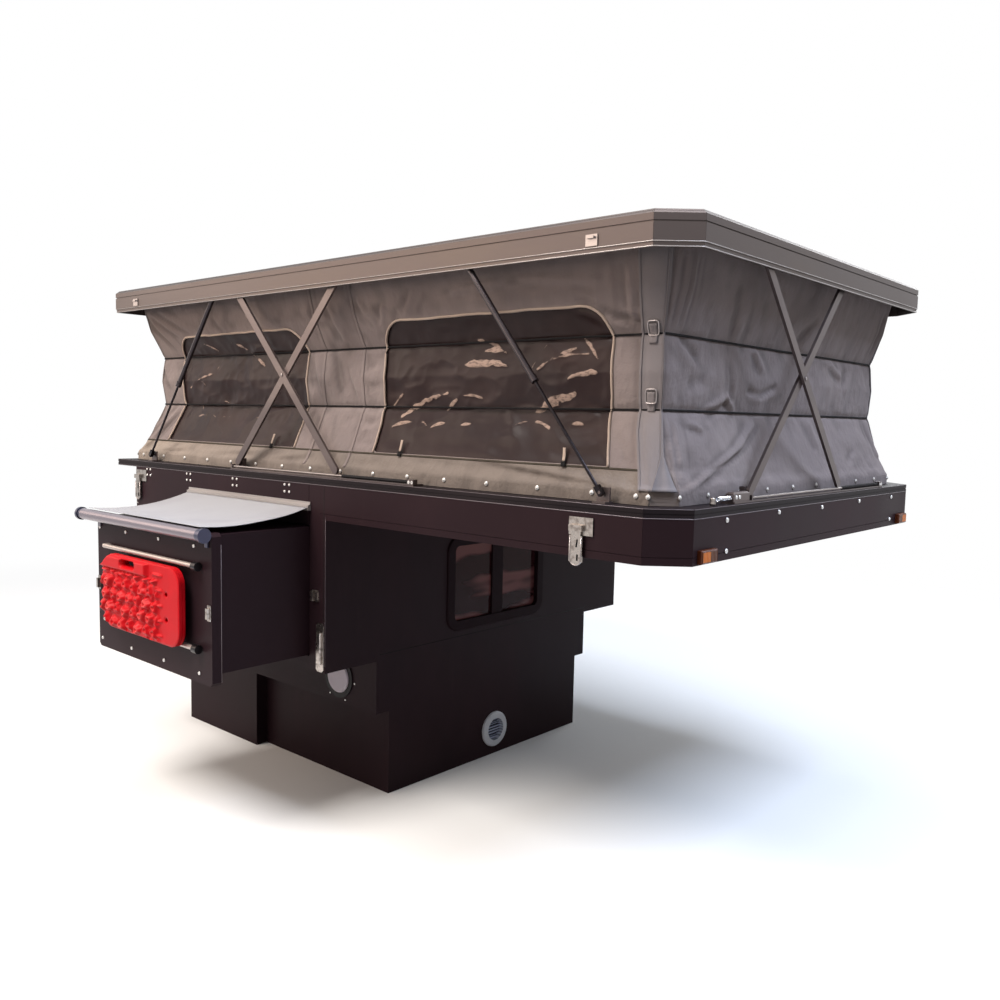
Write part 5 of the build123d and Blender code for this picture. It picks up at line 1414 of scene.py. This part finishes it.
for (side, label), way in zip(SIDES, (OUT_STBD, OUT_PORT)):
    spots = [(WALL_X + x + dx, side * wing_y, z + dz)
             for x, z in CLUSTERS for dx in BOLT_DX for dz in BOLT_DZ]
    repeated(f"wing_bolts_{label}", "pan_head", spots, way, WING_BOLT_R, 3)
    spots = [(WALL_X - 1.415, side * wing_y, z) for z in np.arange(0.62, 1.25, 0.030)]
    repeated(f"rear_edge_rivets_{label}", "rivet", spots, way, EDGE_RIVET_R, 4)
    snaps(label, [along_side(WALL_X + x, side) for x in SIDE_SNAPS], 5)
    spots = [(SIDE_FOOT_X + u, side * (HALF_W - TRACK_FACE), LEDGE_Z + 0.012) for u in BRACKET_U]
    repeated(f"bracket_screws_{label}", "flush", spots, way, SIDE_SCREW_R, 6)

NOSE_SCREWS = ((-0.674, 1.257), (-0.334, 1.259), (0.002, 1.255), (0.342, 1.258), (0.683, 1.256),
               (-0.672, 1.168), (0.676, 1.169))
repeated("nose_screws", "pan_head", [(NOSE_X, y, z) for y, z in NOSE_SCREWS], FORWARD, NOSE_SCREW_R, 7)
ENDS = (("front", NOSE_X, 1, along_front), ("rear", TAIL_X, -1, along_rear))
for label, x, sign, along_end in ENDS:
    snaps(label, [along_end(y) for y in END_SNAPS], 8)
    spots = [(x - sign * 0.0135, END_FOOT_Y + u, LEDGE_Z + 0.019) for u in (-0.118, -0.098)]
    repeated(f"block_screws_{label}", "pan_head", spots, (sign, 0, 0), END_SCREW_R, 9)
    spots = [(x - sign * TRACK_FACE, END_FOOT_Y + u, LEDGE_Z + 0.012) for u in BRACKET_U]
    repeated(f"bracket_screws_{label}", "flush", spots, (sign, 0, 0), END_SCREW_R, 9)

FASCIA_LOW, FASCIA_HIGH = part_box("slideout_fascia")
FASCIA_SCREWS = [(x, 1.064) for x in (-0.905, -0.690, -0.440, -0.195)]
FASCIA_SCREWS += [(x, 0.615) for x in (-0.895, -0.655, -0.410, -0.165)]
spots = [(WALL_X + x, FASCIA_LOW[1], z) for x, z in FASCIA_SCREWS]
repeated("fascia_screws", "pan_head", spots, OUT_STBD, FASCIA_SCREW_R, 10, "slideout")

FLANGE_R = 0.099
around = np.radians([-66, -126, 174, 114, 54, -6])
spots = points_of(filler_middle[0] + FLANGE_R * np.cos(around), FILLER_HIGH[1],
                  filler_middle[1] + FLANGE_R * np.sin(around))
repeated("filler_screws", "rivet", spots, OUT_STBD, FILLER_SCREW_R, 11)

# each pair of arms crosses at a bright riveted pin
CROSS_U, CROSS_Z = 0.325, LEDGE_Z + 0.383
CROSS_IN = 0.0125
for label, way in (("stbd", OUT_STBD), ("port", OUT_PORT), ("front", FORWARD), ("rear", BACKWARD)):
    spot = rod_line(label, CROSS_U, CROSS_U, 1)[0] + np.array(way) * (ROD_IN - CROSS_IN)
    spot[2] = CROSS_Z
    body = f"{label}_outer_arm"
    repeated(f"cross_rivet_{label}", "rivet", [spot], way, CROSS_RIVET_R, 12, body, satin_rod)
print("fasteners placed")

# %% [markdown]
# A coil spring with an eye screw holds the front and rear tracks' foot blocks. Thin pale beads
# round the roof's lip, the base rail and along folded edges are painted highlights where light
# catches those edges. Sealant fills the seams of the wing walls, and a dark bead under the front
# wall's lap is a painted shadow. The roof's straps are pressed from sheet, with a raised rim and two
# slots each, drawn as dark beads of painted shade.

# %% Springs, eye screws, highlight lines and seams
COIL_TURNS, COIL_R, COIL_WIRE = 14, 0.0068, 0.0013
EYE_UP = (0.002, 0.008, 0.014, 0.020, 0.024)
EYE_R = np.array([0.0095, 0.0095, 0.0068, 0.0085, 0.0045])
for label, x, sign, _ in ENDS:
    turns = np.linspace(0, COIL_TURNS * 2 * np.pi, COIL_TURNS * 12)
    run = END_FOOT_Y + np.linspace(-0.208, -0.136, len(turns))
    in_x = x - sign * 0.025
    coil = points_of(in_x + COIL_R * np.cos(turns), run, LEDGE_Z + 0.017 + COIL_R * np.sin(turns))
    spring = tube(f"damper_spring_{label}", coil, COIL_WIRE, chrome.material, sides=6)
    dress(spring, "camper")
    stem = points_of(in_x, END_FOOT_Y - 0.236, LEDGE_Z + np.array(EYE_UP))
    dress(tube(f"eye_screw_{label}", stem, EYE_R, bright.material, sides=14), "camper")


def highlight_line(name, inset, z, radius, body, finish):
    """Thin pale bead right round the rail's or the rim's outline, a painted highlight on its edge."""
    corners = plan_corners(inset)
    points = []
    for a, b in zip(corners, np.roll(corners, -1, 0)):
        way = (b - a) / np.linalg.norm(b - a)
        points += [a + way * 0.002, b - way * 0.002]
    line = [(px, py, z) for px, py in points]
    dress(tube(name, line, radius, finish.material, sides=6, closed=True), body)


# pale lines round the roof's lip and the base rail, and the pale finish for edges, are painted highlights
edge_highlight = coated_metal("painted_edge_highlight", srgb(112, 102, 106), srgb(88, 78, 82), 0.4, 0.5)
highlight_line("rim_lip_trim", 0.0025, RIM_LOW[2] + 0.002, 0.0016, "roof", pale_alloy)
highlight_line("rim_skirt_trim", 0.0, RIM_LOW[2] + 0.015, 0.0012, "roof", pale_alloy)
highlight_line("rail_top_trim", 0.0006, RAIL_HIGH[2] - 0.001, 0.0010, "camper", edge_highlight)
highlight_line("rail_foot_trim", 0.0004, RAIL_LOW[2] + 0.002, 0.0012, "camper", edge_highlight)
# dark beads: sealant in the wing seams, and painted shade under the front wall's lap and in the strap slots
sealant_and_shade = moulded("sealant_and_shade", srgb(12, 9, 10), srgb(20, 16, 18), 0.7)
WING_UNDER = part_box("wing_walls")[0][2]
POD_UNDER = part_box("cabover_walls")[0][2]
FASCIA_BEAD_R, FRONT_BEAD_R, WING_SEAM_R, FRONT_LAP_SHADOW_R = 0.0016, 0.0008, 0.0015, 0.0020
STRAP_RIM_R, STRAP_SLOT_R = 0.0020, 0.0026


def bead(name, line, radius, finish, body):
    """Thin round line on one of the camper's hard parts."""
    dress(tube(name, line, radius, finish.material, sides=6), body)


def between(start, end):
    """Three points from one place to another."""
    return [tuple(a + k * (b - a) for a, b in zip(start, end)) for k in (0, 0.5, 1)]


FASCIA_BEAD_Y = FASCIA_HIGH[1] - 0.001
# pale beads along the fascia's and the front wall's edges are painted highlights where light catches them
for label, x in (("front", FASCIA_HIGH[0] - 0.0008), ("rear", FASCIA_LOW[0] + 0.0008)):
    line = between((x, FASCIA_BEAD_Y, FASCIA_LOW[2] + 0.01), (x, FASCIA_BEAD_Y, FASCIA_HIGH[2] - 0.04))
    bead(f"fascia_edge_{label}", line, FASCIA_BEAD_R, edge_highlight, "slideout")
for side, label in SIDES:
    bead_y, foot = side * (wing_y - 0.0006), WING_UNDER + 0.002
    line = between((WALL_X - 0.0006, bead_y, foot), (WALL_X - 0.0006, bead_y, POD_UNDER - 0.012))
    bead(f"front_edge_{label}", line, FRONT_BEAD_R, edge_highlight, "camper")
    line = between((WALL_X - 0.009, bead_y, foot), (WALL_X - 0.009, bead_y, RAIL_LOW[2] - 0.004))
    bead(f"wing_seam_{label}", line, WING_SEAM_R, sealant_and_shade, "camper")
# a dark bead under the front wall's lap is a painted shadow of the lap
line = [(WALL_X - 0.0012, y, WING_UNDER - 0.0010) for y in (-0.68, 0.0, 0.68)]
bead("front_wall_seam", line, FRONT_LAP_SHADOW_R, sealant_and_shade, "camper")

STRAP_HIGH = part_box("roof_toggles")[1]
RIM_HALF = 0.0195
STRAP_TOP, STRAP_ROUND = STRAP_HIGH[2] - 0.058, STRAP_HIGH[2] - 0.119
STRAP_SLOTS = (("high", (0.006, STRAP_TOP - 0.006), (0.003, STRAP_TOP - 0.028)),
               ("low", (0.007, STRAP_ROUND + 0.012), (0.007, STRAP_ROUND - 0.006)))
under = np.linspace(np.pi, 2 * np.pi, 9)
for side, label in SIDES:
    for end, strap_x in (("front", NOSE_X - 0.320), ("rear", TAIL_X + 0.210)):
        face_y = side * (STRAP_HIGH[1] - 0.005)
        arc = points_of(strap_x + RIM_HALF * np.cos(under), face_y, STRAP_ROUND + RIM_HALF * np.sin(under))
        rim_line = [(strap_x - RIM_HALF, face_y, STRAP_TOP), *arc, (strap_x + RIM_HALF, face_y, STRAP_TOP)]
        bead(f"strap_rim_{end}_{label}", rim_line, STRAP_RIM_R, satin_rod, "camper")
        # each slot is a dark bead of painted shade, standing in for the opening
        for place, (dx0, z0), (dx1, z1) in STRAP_SLOTS:
            line = between((strap_x + dx0, face_y, z0), (strap_x + dx1, face_y, z1))
            bead(f"strap_slot_{place}_{end}_{label}", line, STRAP_SLOT_R, sealant_and_shade, "camper")
for shape in SHAPES.values():
    bpy.data.objects.remove(shape)
print("springs and trims placed")

# %% [markdown]
# ## Floor and light
# A plain floor that fades to white away from the camper, a white surround, and five soft lamps:
# one overhead, a warm key and a low warm lamp to starboard, a cool one off the nose and one to port.


# %% Floor
def seen_straight(tree):
    """1 for what the camera sees plainly, mirrored or through glass, 0 for what only lights things."""
    plain, mirrored, through = (put(tree, "ShaderNodeLightPath", {}, f"Is {way} Ray")
                                for way in ("Camera", "Glossy", "Transmission"))
    either = put(tree, "ShaderNodeMath", {0: plain, 1: mirrored}, operation="MAXIMUM")
    return put(tree, "ShaderNodeMath", {0: either, 1: through}, operation="MAXIMUM")


FLOOR_HALF = 40.0
FADE_FROM, FADE_TO = 2.2, 6.5
floor_finish = Finish("studio_floor", srgb(240, 240, 240), 0.9, {"Specular IOR Level": 0.1})
from_middle = floor_finish.node("VectorMath", {0: floor_finish.place}, "Value", operation="LENGTH")
shown = seen_straight(floor_finish.tree)
far = floor_finish.maths("MULTIPLY", floor_finish.window(from_middle, FADE_FROM, FADE_TO), shown)
floor_finish.tint(floor_finish.window(shown, 0.2, 0.8, 1.0, 0.0), srgb(150, 148, 146))
blend = {"Fac": far, 1: floor_finish.shader.outputs["BSDF"], 2: floor_finish.node("Emission", {})}
floor_out = floor_finish.tree.nodes["Material Output"].inputs["Surface"]
floor_finish.tree.links.new(floor_finish.node("MixShader", blend), floor_out)
corners = [(x * FLOOR_HALF, y * FLOOR_HALF, -0.0005) for x, y in ((-1, -1), (1, -1), (1, 1), (-1, 1))]
floor = mesh_piece("studio_floor", corners, [(0, 1, 2, 3)], floor_finish.material, smooth=False)
print("floor half width", FLOOR_HALF, "m")

# %% [markdown]
# The surround looks white to the camera but lights the scene only weakly, so that the lamps give
# the camper its shape. Large lamps give soft shadows, as a bright overcast sky does.

# %% Lamps and surround
SURROUND_LIGHT = 0.25
world = bpy.data.worlds.new("surround")
bpy.context.scene.world = world
world.use_nodes = True
sky = world.node_tree
seen = sky.nodes["Background"]
seen.inputs["Color"].default_value = (1, 1, 1, 1)
lit = put(sky, "ShaderNodeBackground", {"Color": (0.93, 0.95, 1.0, 1), "Strength": SURROUND_LIGHT})
blend = {"Fac": seen_straight(sky), 1: lit, 2: seen.outputs["Background"]}
sky.links.new(put(sky, "ShaderNodeMixShader", blend), sky.nodes["World Output"].inputs["Surface"])


def lamp(name, place, towards, size, power, colour):
    """Large soft rectangular lamp."""
    light = bpy.data.lights.new(name, "AREA")
    light.shape = "RECTANGLE"
    light.size, light.size_y = size
    light.energy = power
    light.color = colour
    holder = bpy.data.objects.new(name, light)
    bpy.context.collection.objects.link(holder)
    aim = (Vector(towards) - Vector(place)).to_track_quat("-Z", "Y")
    holder.matrix_world = Matrix.Translation(place) @ aim.to_matrix().to_4x4()


lamp("overhead_lamp", (0.8, -0.6, 9.0), (0.6, 0.0, 1.2), (5.0, 5.0), 330.0, (1.0, 0.98, 0.96))
lamp("key_lamp", (-0.2, -4.4, 6.6), (0.6, -0.7, 1.4), (2.6, 2.6), 560.0, (1.0, 0.94, 0.88))
lamp("starboard_lamp", (-2.0, -4.3, 2.8), (0.5, -0.9, 1.6), (5.4, 2.0), 110.0, (1.0, 0.80, 0.64))
lamp("front_lamp", (4.7, 0.2, 6.2), (2.1, 0.0, 1.5), (2.6, 2.6), 460.0, (0.68, 0.80, 1.0))
lamp("port_lamp", (0.6, 6.6, 4.6), (0.6, 0.8, 1.2), (4.0, 3.0), 150.0, (0.94, 0.97, 1.0))
print("lamps:", len(bpy.data.lights))
